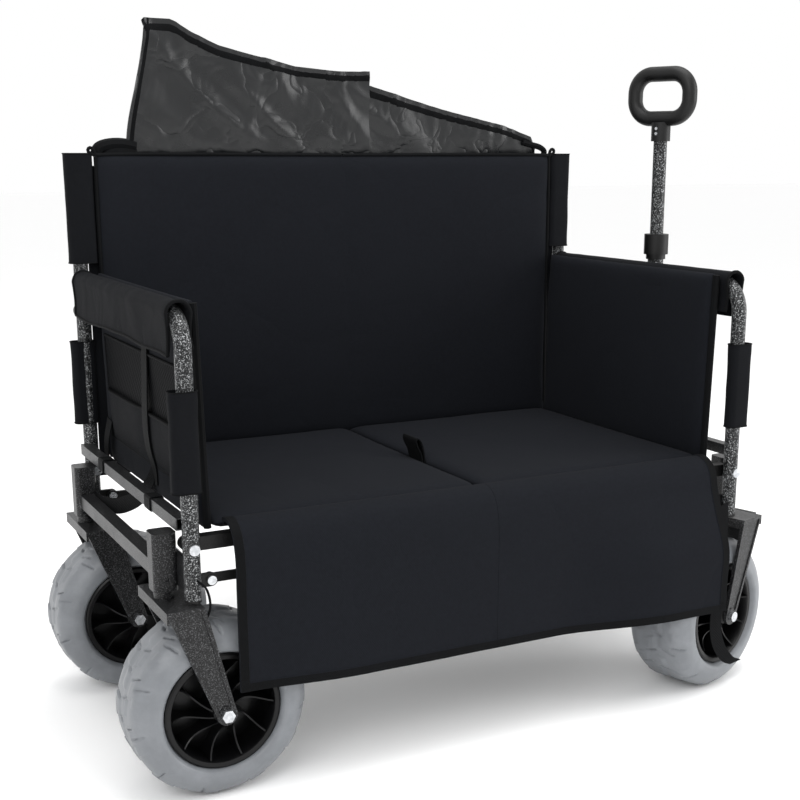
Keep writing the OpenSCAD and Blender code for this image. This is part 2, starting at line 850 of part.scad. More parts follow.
placed() arm_tube();  // left_arm_tube
placed() rear_post();  // left_rear_post
placed() cross_bars();  // left_cross_bars
placed() caster_housings();  // left_caster_housings
placed() end_caps();  // left_end_caps
placed() frame_bolts(outer_link_y);  // left_frame_bolts
placed() link_brackets();  // left_link_brackets
placed() color("dimgray") {  // left_forks
    at_left_caster() fork(false);
    at_rear_left_caster() fork(false);
}
placed() color("silver") {  // left_axle_bolts
    at_left_caster() axle_bolt();
    at_rear_left_caster() axle_bolt();
}
placed() arm_sleeve();  // left_arm_sleeve
placed() side_panel();  // left_side_panel
placed() post_sleeves();  // left_post_sleeves
placed() pocket();  // left_pocket
placed() seat_strip();  // left_seat_strip

placed() right_side() arm_tube();  // right_arm_tube
placed() right_side() rear_post();  // right_rear_post
placed() right_side() cross_bars();  // right_cross_bars
placed() right_side() caster_housings();  // right_caster_housings
placed() right_side() end_caps();  // right_end_caps
placed() right_side() frame_bolts(inner_link_y);  // right_frame_bolts
placed() right_side() link_brackets();  // right_link_brackets
placed() right_side() arm_sleeve();  // right_arm_sleeve
placed() right_side() side_panel();  // right_side_panel
placed() right_side() post_sleeves();  // right_post_sleeves
placed() right_side() seat_strip();  // right_seat_strip
placed() handle_bracket();

placed() color("dimgray") at_front_right_caster() fork(true);  // front_right_fork
placed() color("silver") at_front_right_caster() axle_bolt();  // front_right_axle_bolt
placed() at_front_right_caster() brake_lever();  // front_right_brake
placed() color("dimgray") at_rear_right_caster() fork(true);  // rear_right_fork
placed() color("silver") at_rear_right_caster() axle_bolt();  // rear_right_axle_bolt
placed() at_rear_right_caster() brake_lever();  // rear_right_brake

placed() at_left_caster() tyre();  // front_left_tyre
placed() at_left_caster() rim();  // front_left_rim
placed() at_rear_left_caster() tyre();  // rear_left_tyre
placed() at_rear_left_caster() rim();  // rear_left_rim
placed() at_front_right_caster() tyre();  // front_right_tyre
placed() at_front_right_caster() rim();  // front_right_rim
placed() at_rear_right_caster() tyre();  // rear_right_tyre
placed() at_rear_right_caster() rim();  // rear_right_rim

placed() deck_frame();  // left_deck_frame
placed() seat_pad();  // left_seat_pad
placed() right_side() deck_frame();  // right_deck_frame
placed() right_side() seat_pad();  // right_seat_pad
placed() centre_hubs();
placed() pull_strap();
placed() link(-1, outer_link_y);  // left_links
placed() link(1, inner_link_y);  // right_links

placed() back_panel();  // left_back_panel
placed() right_side() back_panel();  // right_back_panel
placed() left_cover();
placed() right_cover();
placed() left_flap();
placed() right_flap();

placed() handle_outer_tube();
placed() handle_collar();
placed() handle_inner_tube();
placed() handle_grip();
placed() grip_screws();
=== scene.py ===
# %% [markdown]
# # A folding beach cart that stands as a bench
# The cart is a folding steel frame on four balloon-tyred casters, with sewn
# soft goods hung on it. The steel parts come ready made from the frame file,
# at their true size, and keep their shape. This lesson gives them paint, and
# builds what a lathe or a press can't make: cloth, padding, tape and tyres.
#
# The frame is loaded first, because every later position is read from it.

# %% Load the frame
import math
import bmesh
import bpy
from mathutils import Matrix, Quaternion, Vector, noise


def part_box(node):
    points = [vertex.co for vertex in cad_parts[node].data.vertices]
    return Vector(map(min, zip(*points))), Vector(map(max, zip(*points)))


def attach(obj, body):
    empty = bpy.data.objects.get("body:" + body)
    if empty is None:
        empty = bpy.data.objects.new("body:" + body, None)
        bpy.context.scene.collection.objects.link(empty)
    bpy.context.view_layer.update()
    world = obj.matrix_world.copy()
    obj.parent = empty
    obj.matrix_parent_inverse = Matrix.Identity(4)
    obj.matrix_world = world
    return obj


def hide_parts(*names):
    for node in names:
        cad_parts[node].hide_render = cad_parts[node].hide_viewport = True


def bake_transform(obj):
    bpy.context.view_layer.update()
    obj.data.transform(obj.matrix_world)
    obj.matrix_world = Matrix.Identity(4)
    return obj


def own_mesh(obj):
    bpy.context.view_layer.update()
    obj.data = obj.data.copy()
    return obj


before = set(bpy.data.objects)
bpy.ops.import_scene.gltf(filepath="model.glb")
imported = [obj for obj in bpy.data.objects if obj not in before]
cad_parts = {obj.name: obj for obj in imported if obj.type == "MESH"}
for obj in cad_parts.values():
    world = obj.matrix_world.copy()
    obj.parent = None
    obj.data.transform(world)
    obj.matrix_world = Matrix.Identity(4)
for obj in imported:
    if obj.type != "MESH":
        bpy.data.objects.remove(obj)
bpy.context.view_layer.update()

# %% [markdown]
# ## Camera, light and floor
# A soft white studio suits black cloth: the paint and the tape only show
# where they mirror something bright. So there are three large area lights and
# a pale world, and a pale floor that the wheels can stand on. The camera is
# set before anything is built, so that each piece can be judged as it will
# be seen. A long lens keeps the far arm nearly as tall as the near one.

# %% Camera
scene = bpy.context.scene
scene.view_settings.view_transform = "Standard"
turn, tilt = math.radians(-27.775), math.radians(13.338)
towards_camera = Vector((math.sin(turn) * math.cos(tilt),
                         -math.cos(turn) * math.cos(tilt), math.sin(tilt)))
lens = bpy.data.cameras.new("studio_lens")
lens.lens, lens.sensor_width = 58.3, 36.0
lens.shift_x, lens.shift_y = -0.0223, 0.0801
lens.clip_start, lens.clip_end = 0.05, 60.0
camera = bpy.data.objects.new("studio_camera", lens)
camera.location = (-0.908, -1.737, 0.821)
camera.rotation_mode = "QUATERNION"
camera.rotation_quaternion = (-towards_camera).to_track_quat("-Z", "Y")
scene.collection.objects.link(camera)
scene.camera = camera
print("camera", lens.lens, "mm")

# %% Light and floor
def area_light(name, place, aim, size, power):
    lamp = bpy.data.lights.new(name, "AREA")
    lamp.shape, lamp.size, lamp.size_y, lamp.energy = "RECTANGLE", *size, power
    light = bpy.data.objects.new(name, lamp)
    light.location = place
    light.rotation_mode = "QUATERNION"
    light.rotation_quaternion = (Vector(aim) - Vector(place)).to_track_quat("-Z", "Y")
    scene.collection.objects.link(light)
    return light


area_light("key_softbox", (-2.3, -2.4, 2.5), (0, 0, 0.4), (2.2, 1.8), 40)
area_light("top_softbox", (0.2, -0.3, 3.0), (0, 0, 0.4), (2.6, 2.0), 55)
area_light("right_softbox", (2.9, -1.6, 1.3), (0.2, 0, 0.4), (1.4, 2.0), 40)
studio = bpy.data.worlds.new("pale_studio")
studio.use_nodes = True
studio.node_tree.nodes["Background"].inputs["Color"].default_value = (1, 1, 1, 1)
studio.node_tree.nodes["Background"].inputs["Strength"].default_value = 1.0
scene.world = studio
bpy.ops.mesh.primitive_plane_add(size=60, location=(0, 0, -0.0005))
floor = bpy.context.object
floor.name = "studio_floor"
print("lights", 3)

# %% [markdown]
# ## Small tools for node trees
# Every finish below is a handful of nodes. `add` drops one node into a tree
# and wires its inputs, and `sums` does arithmetic, so that a recipe reads
# from top to bottom instead of as a page of links.

# %% Node helpers
def add(tree, kind, inputs=None, **settings):
    node = tree.nodes.new(kind)
    for key, value in settings.items():
        setattr(node, key, value)
    for key, value in (inputs or {}).items():
        if isinstance(value, bpy.types.NodeSocket):
            tree.links.new(value, node.inputs[key])
        else:
            node.inputs[key].default_value = value
    return node


def sums(tree, operation, first, second=0.0, third=0.0, clamp=False):
    return add(tree, "ShaderNodeMath", {0: first, 1: second, 2: third},
               operation=operation, use_clamp=clamp).outputs[0]


def between(tree, value, low, high, to_low=0.0, to_high=1.0):
    return add(tree, "ShaderNodeMapRange",
               {"Value": value, "From Min": low, "From Max": high,
                "To Min": to_low, "To Max": to_high}).outputs["Result"]


def mixed(tree, share, first, second):
    mix = add(tree, "ShaderNodeMix", data_type="RGBA")
    for index, value in ((0, share), (6, first), (7, second)):
        if isinstance(value, bpy.types.NodeSocket):
            tree.links.new(value, mix.inputs[index])
        else:
            mix.inputs[index].default_value = value
    return mix.outputs[2]


def effect(name, wanted, given):
    tree = bpy.data.node_groups.new(name, "ShaderNodeTree")
    for label, value in wanted:
        tree.interface.new_socket(name=label, in_out="INPUT",
                                  socket_type="NodeSocketFloat").default_value = value
    for label in given:
        tree.interface.new_socket(name=label, in_out="OUTPUT",
                                  socket_type="NodeSocketFloat")
    start, end = tree.nodes.new("NodeGroupInput"), tree.nodes.new("NodeGroupOutput")
    return tree, start.outputs, end.inputs


def shade(hexed):
    def linear(c):
        return c / 12.92 if c <= 0.04045 else ((c + 0.055) / 1.055) ** 2.4
    return tuple(linear(int(hexed[i:i + 2], 16) / 255) for i in (0, 2, 4)) + (1.0,)


print("helpers ready")

# %% [markdown]
# ## Effects that several finishes share
# - **Woven threads**: warp and weft crossing over and under, as fine ribs.
#   The weave follows the two axes that lie in the surface, so a seat and a
#   wall get the same cloth with no unwrapping. Its tone is lighter on the
#   raised crossings, which is painted shade in the dips, plus random slubs.
# - **Hammered enamel**: powder coat that crawls into cells as it bakes and
#   leaves bright metal grains between them.
# - **Handling marks**: broad soft blotches where hands and dust have been.
# - **Cloth creases**: slow waves that pull a flat panel slightly uneven.
# - **Moulded grain**: the fine spark-eroded skin of a plastic moulding.

# %% Woven threads
weave, take, give = effect("woven_threads", [("Pitch", 0.0011), ("Slub", 0.5)],
                           ["Height", "Tone_with_dip_shade"])
where = add(weave, "ShaderNodeTexCoord")
spot = add(weave, "ShaderNodeSeparateXYZ", {0: where.outputs["Object"]}).outputs
facing = add(weave, "ShaderNodeSeparateXYZ", {0: where.outputs["Normal"]}).outputs
sideways = sums(weave, "GREATER_THAN", sums(weave, "ABSOLUTE", facing[0]), 0.7)
upwards = sums(weave, "GREATER_THAN", sums(weave, "ABSOLUTE", facing[2]), 0.7)
across = sums(weave, "ADD", sums(weave, "MULTIPLY", spot[0],
                                 sums(weave, "SUBTRACT", 1.0, sideways)),
              sums(weave, "MULTIPLY", spot[1], sideways))
along = sums(weave, "ADD", sums(weave, "MULTIPLY", spot[2],
                                sums(weave, "SUBTRACT", 1.0, upwards)),
             sums(weave, "MULTIPLY", spot[1], upwards))
turns = sums(weave, "DIVIDE", math.pi, take["Pitch"])
warp = sums(weave, "SINE", sums(weave, "MULTIPLY", across, turns))
weft = sums(weave, "SINE", sums(weave, "MULTIPLY", along, turns))
give_height = sums(weave, "MULTIPLY", warp, weft)
weave.links.new(between(weave, give_height, -1, 1), give["Height"])
slubs = add(weave, "ShaderNodeTexNoise", {"Vector": where.outputs["Object"],
            "Scale": 240.0, "Detail": 3.0}).outputs["Fac"]
# The tone is lighter on the raised crossings: painted shade in the weave's dips, with random
# slub tone on top.
thread_tone_with_dip_shade = sums(weave, "MULTIPLY_ADD", sums(weave, "SUBTRACT", slubs, 0.5),
              take["Slub"], between(weave, give_height, -1, 1, 0.35, 0.65))
weave.links.new(thread_tone_with_dip_shade, give["Tone_with_dip_shade"])
print(weave.name, len(weave.nodes), "nodes")

# %% Hammered enamel
hammer, take, give = effect("hammered_enamel", [("Cells", 420.0), ("Grains", 1.0)],
                            ["Height", "Grain"])
where = add(hammer, "ShaderNodeTexCoord").outputs["Object"]
cells = add(hammer, "ShaderNodeTexVoronoi", {"Vector": where, "Scale": take["Cells"]},
            feature="SMOOTH_F1")
fine = add(hammer, "ShaderNodeTexNoise", {"Vector": where, "Detail": 2.0,
           "Scale": sums(hammer, "MULTIPLY", take["Cells"], 1.35)}).outputs["Fac"]
lit = between(hammer, fine, 0.50, 0.66)
lit = sums(hammer, "MULTIPLY", lit, between(hammer, cells.outputs["Distance"], 0.15, 0.6))
hammer.links.new(sums(hammer, "MULTIPLY", lit, take["Grains"], clamp=True), give["Grain"])
hammer.links.new(cells.outputs["Distance"], give["Height"])
print(hammer.name, len(hammer.nodes), "nodes")

# %% Handling marks, creases and grain
marks, take, give = effect("handling_marks", [("Size", 9.0), ("Amount", 1.0)], ["Mask"])
where = add(marks, "ShaderNodeTexCoord").outputs["Object"]
blotch = add(marks, "ShaderNodeTexNoise", {"Vector": where, "Scale": take["Size"],
             "Detail": 5.0, "Roughness": 0.62}).outputs["Fac"]
marks.links.new(sums(marks, "MULTIPLY", between(marks, blotch, 0.42, 0.72),
                     take["Amount"]), give["Mask"])

creases, take, give = effect("cloth_creases", [("Size", 7.0), ("Sharpness", 0.4)],
                             ["Height"])
where = add(creases, "ShaderNodeTexCoord").outputs["Object"]
slow = add(creases, "ShaderNodeTexNoise", {"Vector": where, "Scale": take["Size"],
           "Detail": 2.0, "Distortion": 0.6}).outputs["Fac"]
ridge = sums(creases, "ABSOLUTE", sums(creases, "SUBTRACT", slow, 0.5))
ridge = sums(creases, "POWER", sums(creases, "MULTIPLY", ridge, 2.0), take["Sharpness"])
creases.links.new(ridge, give["Height"])

grain, take, give = effect("moulded_grain", [("Fineness", 900.0)], ["Height"])
where = add(grain, "ShaderNodeTexCoord").outputs["Object"]
skin = add(grain, "ShaderNodeTexNoise", {"Vector": where, "Scale": take["Fineness"],
           "Detail": 2.0}).outputs["Fac"]
grain.links.new(skin, give["Height"])
print("effects", len(bpy.data.node_groups))

# %% [markdown]
# ## Finishes
# Each finish keeps its own Principled shader and mixes the shared effects in
# with its own values. Black cloth is never one black: the taped edges are
# smoother, the padded face is dull and a little blue, the stowed cover is a
# coated nylon that shines.

# %% Start a finish
def finish(name, roughness=0.6, **sockets):
    made = bpy.data.materials.new(name)
    made.use_nodes = True
    tree = made.node_tree
    shader = tree.nodes["Principled BSDF"]
    shader.inputs["Roughness"].default_value = roughness
    for key, value in sockets.items():
        shader.inputs[key.replace("_", " ")].default_value = value
    return made, tree, shader.inputs


def placed(tree, group, **values):
    node = add(tree, "ShaderNodeGroup", node_tree=bpy.data.node_groups[group])
    for key, value in values.items():
        node.inputs[key].default_value = value
    return node.outputs


def raised(tree, shader, height, depth, strength=1.0):
    before = shader["Normal"].links[0].from_socket if shader["Normal"].links else None
    bump = add(tree, "ShaderNodeBump", {"Height": height, "Distance": depth,
                                        "Strength": strength})
    if before:
        tree.links.new(before, bump.inputs["Normal"])
    tree.links.new(bump.outputs["Normal"], shader["Normal"])


print("finish helpers ready")

# %% Painted steel
def enamel(name, base, silver, cells, grains, roughness, metallic):
    made, tree, shader = finish(name, roughness, Metallic=metallic,
                                Specular_IOR_Level=0.28)
    spots = placed(tree, "hammered_enamel", Cells=cells, Grains=grains)
    worn = placed(tree, "handling_marks", Size=14.0, Amount=0.5)["Mask"]
    colour = mixed(tree, spots["Grain"], shade(base), shade(silver))
    tree.links.new(mixed(tree, sums(tree, "MULTIPLY", worn, 0.12), colour,
                         shade("2c2d2f")), shader["Base Color"])
    tree.links.new(sums(tree, "MULTIPLY_ADD", worn, 0.16, roughness - 0.04),
                   shader["Roughness"])
    raised(tree, shader, spots["Height"], 0.0004, 0.6)
    return made


tube_paint = enamel("hammered_tube_paint", "0b0c0d", "b2b4b6", 420.0, 0.9, 0.34, 0.1)
sheet_paint = enamel("hammered_sheet_paint", "0c0c0d", "6a6b6d", 520.0, 0.7, 0.38, 0.05)
bar_paint = enamel("hammered_bar_paint", "090909", "2a2b2d", 560.0, 0.5, 0.44, 0.05)
print(tube_paint.name, sheet_paint.name, bar_paint.name)

# %% Bare metal
zinc, tree, shader = finish("zinc_plate", 0.3, Metallic=0.95)
bloom = placed(tree, "handling_marks", Size=160.0, Amount=0.8)["Mask"]
tree.links.new(mixed(tree, bloom, shade("c9cbce"), shade("96999c")), shader["Base Color"])
tree.links.new(sums(tree, "MULTIPLY_ADD", bloom, 0.22, 0.24), shader["Roughness"])
raised(tree, shader, placed(tree, "moulded_grain", Fineness=1400.0)["Height"],
       0.0002, 0.3)
print(zinc.name)

# %% Cloth
def cloth(name, dark, light, pitch, roughness, sheen, crease_size, crease_depth,
          thread_depth=0.00022):
    made, tree, shader = finish(name, roughness, Sheen_Weight=sheen,
                                Sheen_Roughness=0.5, Specular_IOR_Level=0.05)
    threads = placed(tree, "woven_threads", Pitch=pitch, Slub=0.6)
    dusty = placed(tree, "handling_marks", Size=6.0, Amount=0.55)["Mask"]
    # The thread tone carries painted shade: the cloth is darker in the weave's dips.
    colour = mixed(tree, threads["Tone_with_dip_shade"], shade(dark), shade(light))
    tree.links.new(mixed(tree, sums(tree, "MULTIPLY", dusty, 0.2), colour,
                         shade("1f2125")), shader["Base Color"])
    tree.links.new(sums(tree, "MULTIPLY_ADD", dusty, 0.1, roughness), shader["Roughness"])
    raised(tree, shader, placed(tree, "cloth_creases", Size=crease_size,
                                Sharpness=0.8)["Height"], crease_depth, 0.5)
    raised(tree, shader, threads["Height"], thread_depth, 0.7)
    return made


pad_cloth = cloth("padded_polyester", "0f1013", "1b1d22", 0.0011, 0.82, 0.012, 5.0, 0.004)
shell_cloth = cloth("shell_polyester", "0b0c0e", "151619", 0.0009, 0.76, 0.01, 9.0, 0.005)
tape_cloth = cloth("binding_tape", "070708", "0f1011", 0.0016, 0.68, 0.008, 30.0, 0.001)
webbing = cloth("ribbed_webbing", "060607", "121314", 0.0022, 0.62, 0.01, 20.0, 0.001,
                0.0005)
print(pad_cloth.name, shell_cloth.name, tape_cloth.name, webbing.name)

# %% Nylon and mesh
nylon, tree, shader = finish("coated_nylon", 0.34, Specular_IOR_Level=0.42,
                             Coat_Weight=0.06, Coat_Roughness=0.4)
threads = placed(tree, "woven_threads", Pitch=0.0006, Slub=0.3)
pressed = placed(tree, "handling_marks", Size=11.0, Amount=0.7)["Mask"]
# The thread tone carries painted shade: the nylon is darker in the weave's dips.
tree.links.new(mixed(tree, threads["Tone_with_dip_shade"], shade("07080a"), shade("0f1113")),
               shader["Base Color"])
tree.links.new(sums(tree, "MULTIPLY_ADD", pressed, 0.14, 0.27), shader["Roughness"])
raised(tree, shader, placed(tree, "cloth_creases", Size=16.0, Sharpness=0.7)["Height"],
       0.006, 0.6)
raised(tree, shader, threads["Height"], 0.0001, 0.4)

netting, tree, shader = finish("knitted_mesh", 0.7)
holes = placed(tree, "woven_threads", Pitch=0.0042, Slub=0.2)
shader["Specular IOR Level"].default_value = 0.05
# The mesh's dips are painted darker: painted shade in its holes.
tree.links.new(mixed(tree, between(tree, holes["Height"], 0.35, 0.6), shade("030304"),
                     shade("0e0f11")), shader["Base Color"])
raised(tree, shader, holes["Height"], 0.0008, 0.8)
print(nylon.name, netting.name)

# %% Plastics and tyre
def plastic(name, dark, light, roughness, fineness, shine=0.5):
    made, tree, shader = finish(name, roughness, Specular_IOR_Level=shine)
    rubbed = placed(tree, "handling_marks", Size=22.0, Amount=0.7)["Mask"]
    tree.links.new(mixed(tree, rubbed, shade(dark), shade(light)), shader["Base Color"])
    tree.links.new(sums(tree, "MULTIPLY_ADD", rubbed, 0.14, roughness),
                   shader["Roughness"])
    raised(tree, shader, placed(tree, "moulded_grain", Fineness=fineness)["Height"],
           0.0002, 0.35)
    return made


hub_plastic = plastic("hub_plastic", "070708", "0e0e0f", 0.3, 700.0, 0.22)
grip_plastic = plastic("grip_plastic", "090909", "131314", 0.42, 1100.0, 0.3)
tyre_skin = plastic("balloon_tyre_skin", "6b6e72", "7f8286", 0.36, 500.0)
floor_card, tree, shader = finish("studio_card", 0.9)
faint = placed(tree, "handling_marks", Size=1.3, Amount=0.3)["Mask"]
tree.links.new(mixed(tree, faint, shade("fdfdfd"), shade("fbfbfb")), shader["Base Color"])
floor.data.materials.append(floor_card)
print(len(bpy.data.materials), "finishes")

# %% [markdown]
# ## Paint the steel and the mouldings
# The frame's own solids already have the right shape, so they only need the
# right finish. Their edges stay crisp and their round faces smooth.

# %% Dress the frame's nodes
FINISH_OF = {
    tube_paint: ["left_arm_tube", "left_rear_post", "right_arm_tube", "right_rear_post",
                 "handle_outer_tube", "handle_inner_tube"],
    sheet_paint: ["left_caster_housings", "right_caster_housings", "left_forks",
                  "front_right_fork", "rear_right_fork", "left_cross_bars",
                  "right_cross_bars", "handle_bracket"],
    bar_paint: ["left_deck_frame", "right_deck_frame", "centre_hubs", "left_links",
                "right_links", "left_link_brackets", "right_link_brackets",
                "front_right_brake", "rear_right_brake"],
    zinc: ["left_frame_bolts", "right_frame_bolts", "left_axle_bolts",
           "front_right_axle_bolt", "rear_right_axle_bolt", "grip_screws"],
    grip_plastic: ["left_end_caps", "right_end_caps", "handle_collar", "handle_grip"],
}
for coat, names in FINISH_OF.items():
    for name in names:
        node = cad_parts[name]
        node.data.materials.clear()
        node.data.materials.append(coat)
        for face in node.data.polygons:
            face.use_smooth = True
        corner = node.modifiers.new("crisp_edges", "EDGE_SPLIT")
        corner.split_angle = math.radians(32)
print("dressed", sum(len(n) for n in FINISH_OF.values()), "nodes")

# %% [markdown]
# ## Tools for sewn things
# Everything sewn is made from grids of points. `slab` closes a front and a
# back grid into one skin, which suits both a thin sheet and a pad. `piping`
# sweeps a round cord along an edge, and `ribbon` a flat strap.

# %% Mesh helpers
def piece(name, points, faces, coat, body=None, slot=None, sharp=40):
    mesh = bpy.data.meshes.new(name)
    mesh.from_pydata([tuple(p) for p in points], [], faces)
    mesh.validate()
    tidy = bmesh.new()
    tidy.from_mesh(mesh)
    bmesh.ops.recalc_face_normals(tidy, faces=tidy.faces)
    tidy.to_mesh(mesh)
    tidy.free()
    mesh.materials.append(coat)
    mesh.shade_smooth()
    mesh.set_sharp_from_angle(angle=math.radians(sharp))
    thing = bpy.data.objects.new(name, mesh)
    scene.collection.objects.link(thing)
    if body:
        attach(thing, body)
    return thing


def slab(name, front, back, coat, **more):
    rows, columns = len(front), len(front[0])
    points = [p for row in front for p in row] + [p for row in back for p in row]
    half = rows * columns
    faces = []
    for i in range(rows - 1):
        for j in range(columns - 1):
            a = i * columns + j
            faces.append((a, a + 1, a + columns + 1, a + columns))
            faces.append((half + a, half + a + columns, half + a + columns + 1,
                          half + a + 1))
    rim = ([j for j in range(columns)]
           + [i * columns + columns - 1 for i in range(1, rows)]
           + [(rows - 1) * columns + j for j in range(columns - 2, -1, -1)]
           + [i * columns for i in range(rows - 2, 0, -1)])
    for a, b in zip(rim, rim[1:] + rim[:1]):
        faces.append((a, b, half + b, half + a))
    return piece(name, points, faces, coat, **more)


def normals_of(grid):
    rows, columns = len(grid), len(grid[0])
    found = []
    for i in range(rows):
        line = []
        for j in range(columns):
            down = grid[min(i + 1, rows - 1)][j] - grid[max(i - 1, 0)][j]
            over = grid[i][min(j + 1, columns - 1)] - grid[i][max(j - 1, 0)]
            line.append(over.cross(down).normalized())
        found.append(line)
    return found


def sheet_of(name, grid, thick, coat, **more):
    out = normals_of(grid)
    back = [[p + n * thick for p, n in zip(*rows)] for rows in zip(grid, out)]
    return slab(name, grid, back, coat, **more)


def steps(low, high, count, crowd=0.0):
    found = []
    for i in range(count + 1):
        t = i / count
        eased = t * t * (3 - 2 * t)
        found.append(low + (high - low) * (t * (1 - crowd) + eased * crowd))
    return found


def waver(place, size, seed=0.0):
    spot = Vector(place) / size + Vector((seed, seed * 1.7, -seed))
    return noise.noise(spot)


print("mesh helpers ready")

# %% Cords and straps
def swept(name, path, section, coat, closed=False, **more):
    path = [Vector(p) for p in path]
    count, side = len(path), None
    points, faces = [], []
    for i, here in enumerate(path):
        ahead = path[(i + 1) % count] if closed or i < count - 1 else here
        behind = path[i - 1] if closed or i else here
        along = (ahead - behind).normalized()
        if side is None:
            side = along.orthogonal().normalized()
        side = (side - along * side.dot(along)).normalized()
        up = along.cross(side)
        points += [here + side * a + up * b for a, b in section]
    ring = len(section)
    for i in range(count if closed else count - 1):
        for j in range(ring):
            a, b = i * ring, ((i + 1) % count) * ring
            k = (j + 1) % ring
            faces.append((a + j, a + k, b + k, b + j))
    if not closed:
        faces += [tuple(range(ring)), tuple(range((count - 1) * ring, count * ring))]
    return piece(name, points, faces, coat, **more)


def piping(name, path, radius, coat, closed=False, **more):
    section = [(radius * math.cos(math.tau * i / 8), radius * math.sin(math.tau * i / 8))
               for i in range(8)]
    return swept(name, path, section, coat, closed, **more)


def ribbon(name, path, wide, thick, coat, **more):
    path = [Vector(p) for p in path]
    wide = Vector(wide)
    front, back = [], []
    for i, here in enumerate(path):
        along = (path[min(i + 1, len(path) - 1)] - path[max(i - 1, 0)]).normalized()
        out = along.cross(wide).normalized() * thick / 2
        front.append([here - wide / 2 + out, here + out * 1.3, here + wide / 2 + out])
        back.append([here - wide / 2 - out, here - out * 1.3, here + wide / 2 - out])
    return slab(name, front, back, coat, **more)


def smooth_path(corners, per=6):
    corners = [Vector(c) for c in corners]
    ends = [corners[0] * 2 - corners[1], *corners, corners[-1] * 2 - corners[-2]]
    found = []
    for a, b, c, d in zip(ends, ends[1:], ends[2:], ends[3:]):
        for k in range(per):
            t = k / per
            found.append(0.5 * (2 * b + (c - a) * t + (2 * a - 5 * b + 4 * c - d) * t ** 2
                                + (3 * b - a - 3 * c + d) * t ** 3))
    return found + [corners[-1]]


def box_of(*names):
    lows, highs = zip(*(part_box(n) for n in names))
    return (Vector(map(min, *lows, lows[0])), Vector(map(max, *highs, highs[0])))


print("cord helpers ready")

# %% [markdown]
# ## Balloon tyres
# A balloon tyre is a soft hollow ring of light grey plastic, moulded in two
# halves that leave a thin line round the crown. Its tread is only a shallow
# pattern of stepped blocks. The skin is turned like a pot from a section,
# and the section is then pressed in along stepped grooves.
#
# The wheel's middle and axle are read from the tyre node's box, so that each
# tyre sits where its solid sat.

# %% Tyre section
TYRE_RADIUS, TYRE_HALF, RIM_RADIUS = 0.120, 0.055, 0.078


def tyre_profile(count=46):
    shoulder = 0.030
    corners = [(RIM_RADIUS + 0.001, -TYRE_HALF + 0.009), (RIM_RADIUS + 0.006, -TYRE_HALF)]
    for i in range(9):
        a = math.pi / 2 * i / 8
        corners.append((TYRE_RADIUS - shoulder + shoulder * math.sin(a),
                        -TYRE_HALF + shoulder * (1 - math.cos(a)) * 0.9))
    corners += [(r, -w) for r, w in reversed(corners)]
    lengths = [0.0]
    for a, b in zip(corners, corners[1:]):
        lengths.append(lengths[-1] + math.dist(a, b))
    found, k = [], 0
    for i in range(count + 1):
        want = lengths[-1] * i / count
        while k < len(lengths) - 2 and lengths[k + 1] < want:
            k += 1
        t = (want - lengths[k]) / (lengths[k + 1] - lengths[k])
        found.append([corners[k][n] + (corners[k + 1][n] - corners[k][n]) * t
                      for n in (0, 1)])
    return found


def tread_depth(angle, across):
    blocks = 11
    side = abs(across) / TYRE_HALF
    if side > 0.9:
        return 0.0
    step = 0.0 if side < 0.28 else 0.34 if side < 0.62 else 0.12
    lean = 0.35 * side + step + (0.5 if across > 0 else 0.0)
    phase = (angle / math.tau * blocks + lean) % 1.0
    groove = min(1.6 * max(0.0, 1.0 - abs(phase - 0.5) / 0.034), 1.0)
    ledge = 1.0 if side < 0.80 and 0.5 < phase < 0.86 else 0.0
    line = max(0.0, 1.0 - abs(across) / 0.0012)
    return 0.0030 * groove - 0.0013 * ledge - 0.0005 * line


section = tyre_profile()
around = 480
points, faces = [], []
for i in range(around):
    angle = math.tau * i / around
    for radius, across in section:
        reach = radius - (tread_depth(angle, across) + 0.0010) * (radius > 0.1)
        points.append((reach * math.cos(angle), across, reach * math.sin(angle)))
ring = len(section)
for i in range(around):
    for j in range(ring - 1):
        a, b = i * ring, ((i + 1) % around) * ring
        faces.append((a + j, a + j + 1, b + j + 1, b + j))
tyre_model = piece("tyre_model", points, faces, tyre_skin, sharp=60)
print("tyre", len(points), "points")

# %% [markdown]
# ## Spoked hubs
# The hub is one black moulding: a deep barrel with a thick lip that grips
# the tyre, a web set well inside, curved ribs to stiffen it, and a boss for
# the axle. Turned rings make the barrel and the boss, and each rib is a thin
# curved wall that runs from one to the other.

# %% Hub moulding
def turned(profile, around=96):
    points, faces, ring = [], [], len(profile)
    for i in range(around):
        angle = math.tau * i / around
        points += [(r * math.cos(angle), w, r * math.sin(angle)) for r, w in profile]
    for i in range(around):
        for j in range(ring):
            a, b, k = i * ring, ((i + 1) % around) * ring, (j + 1) % ring
            faces.append((a + j, a + k, b + k, b + j))
    return points, faces


hub_points, hub_faces = [], []


def join(points, faces):
    base = len(hub_points)
    hub_points.extend(points)
    hub_faces.extend(tuple(base + i for i in f) for f in faces)


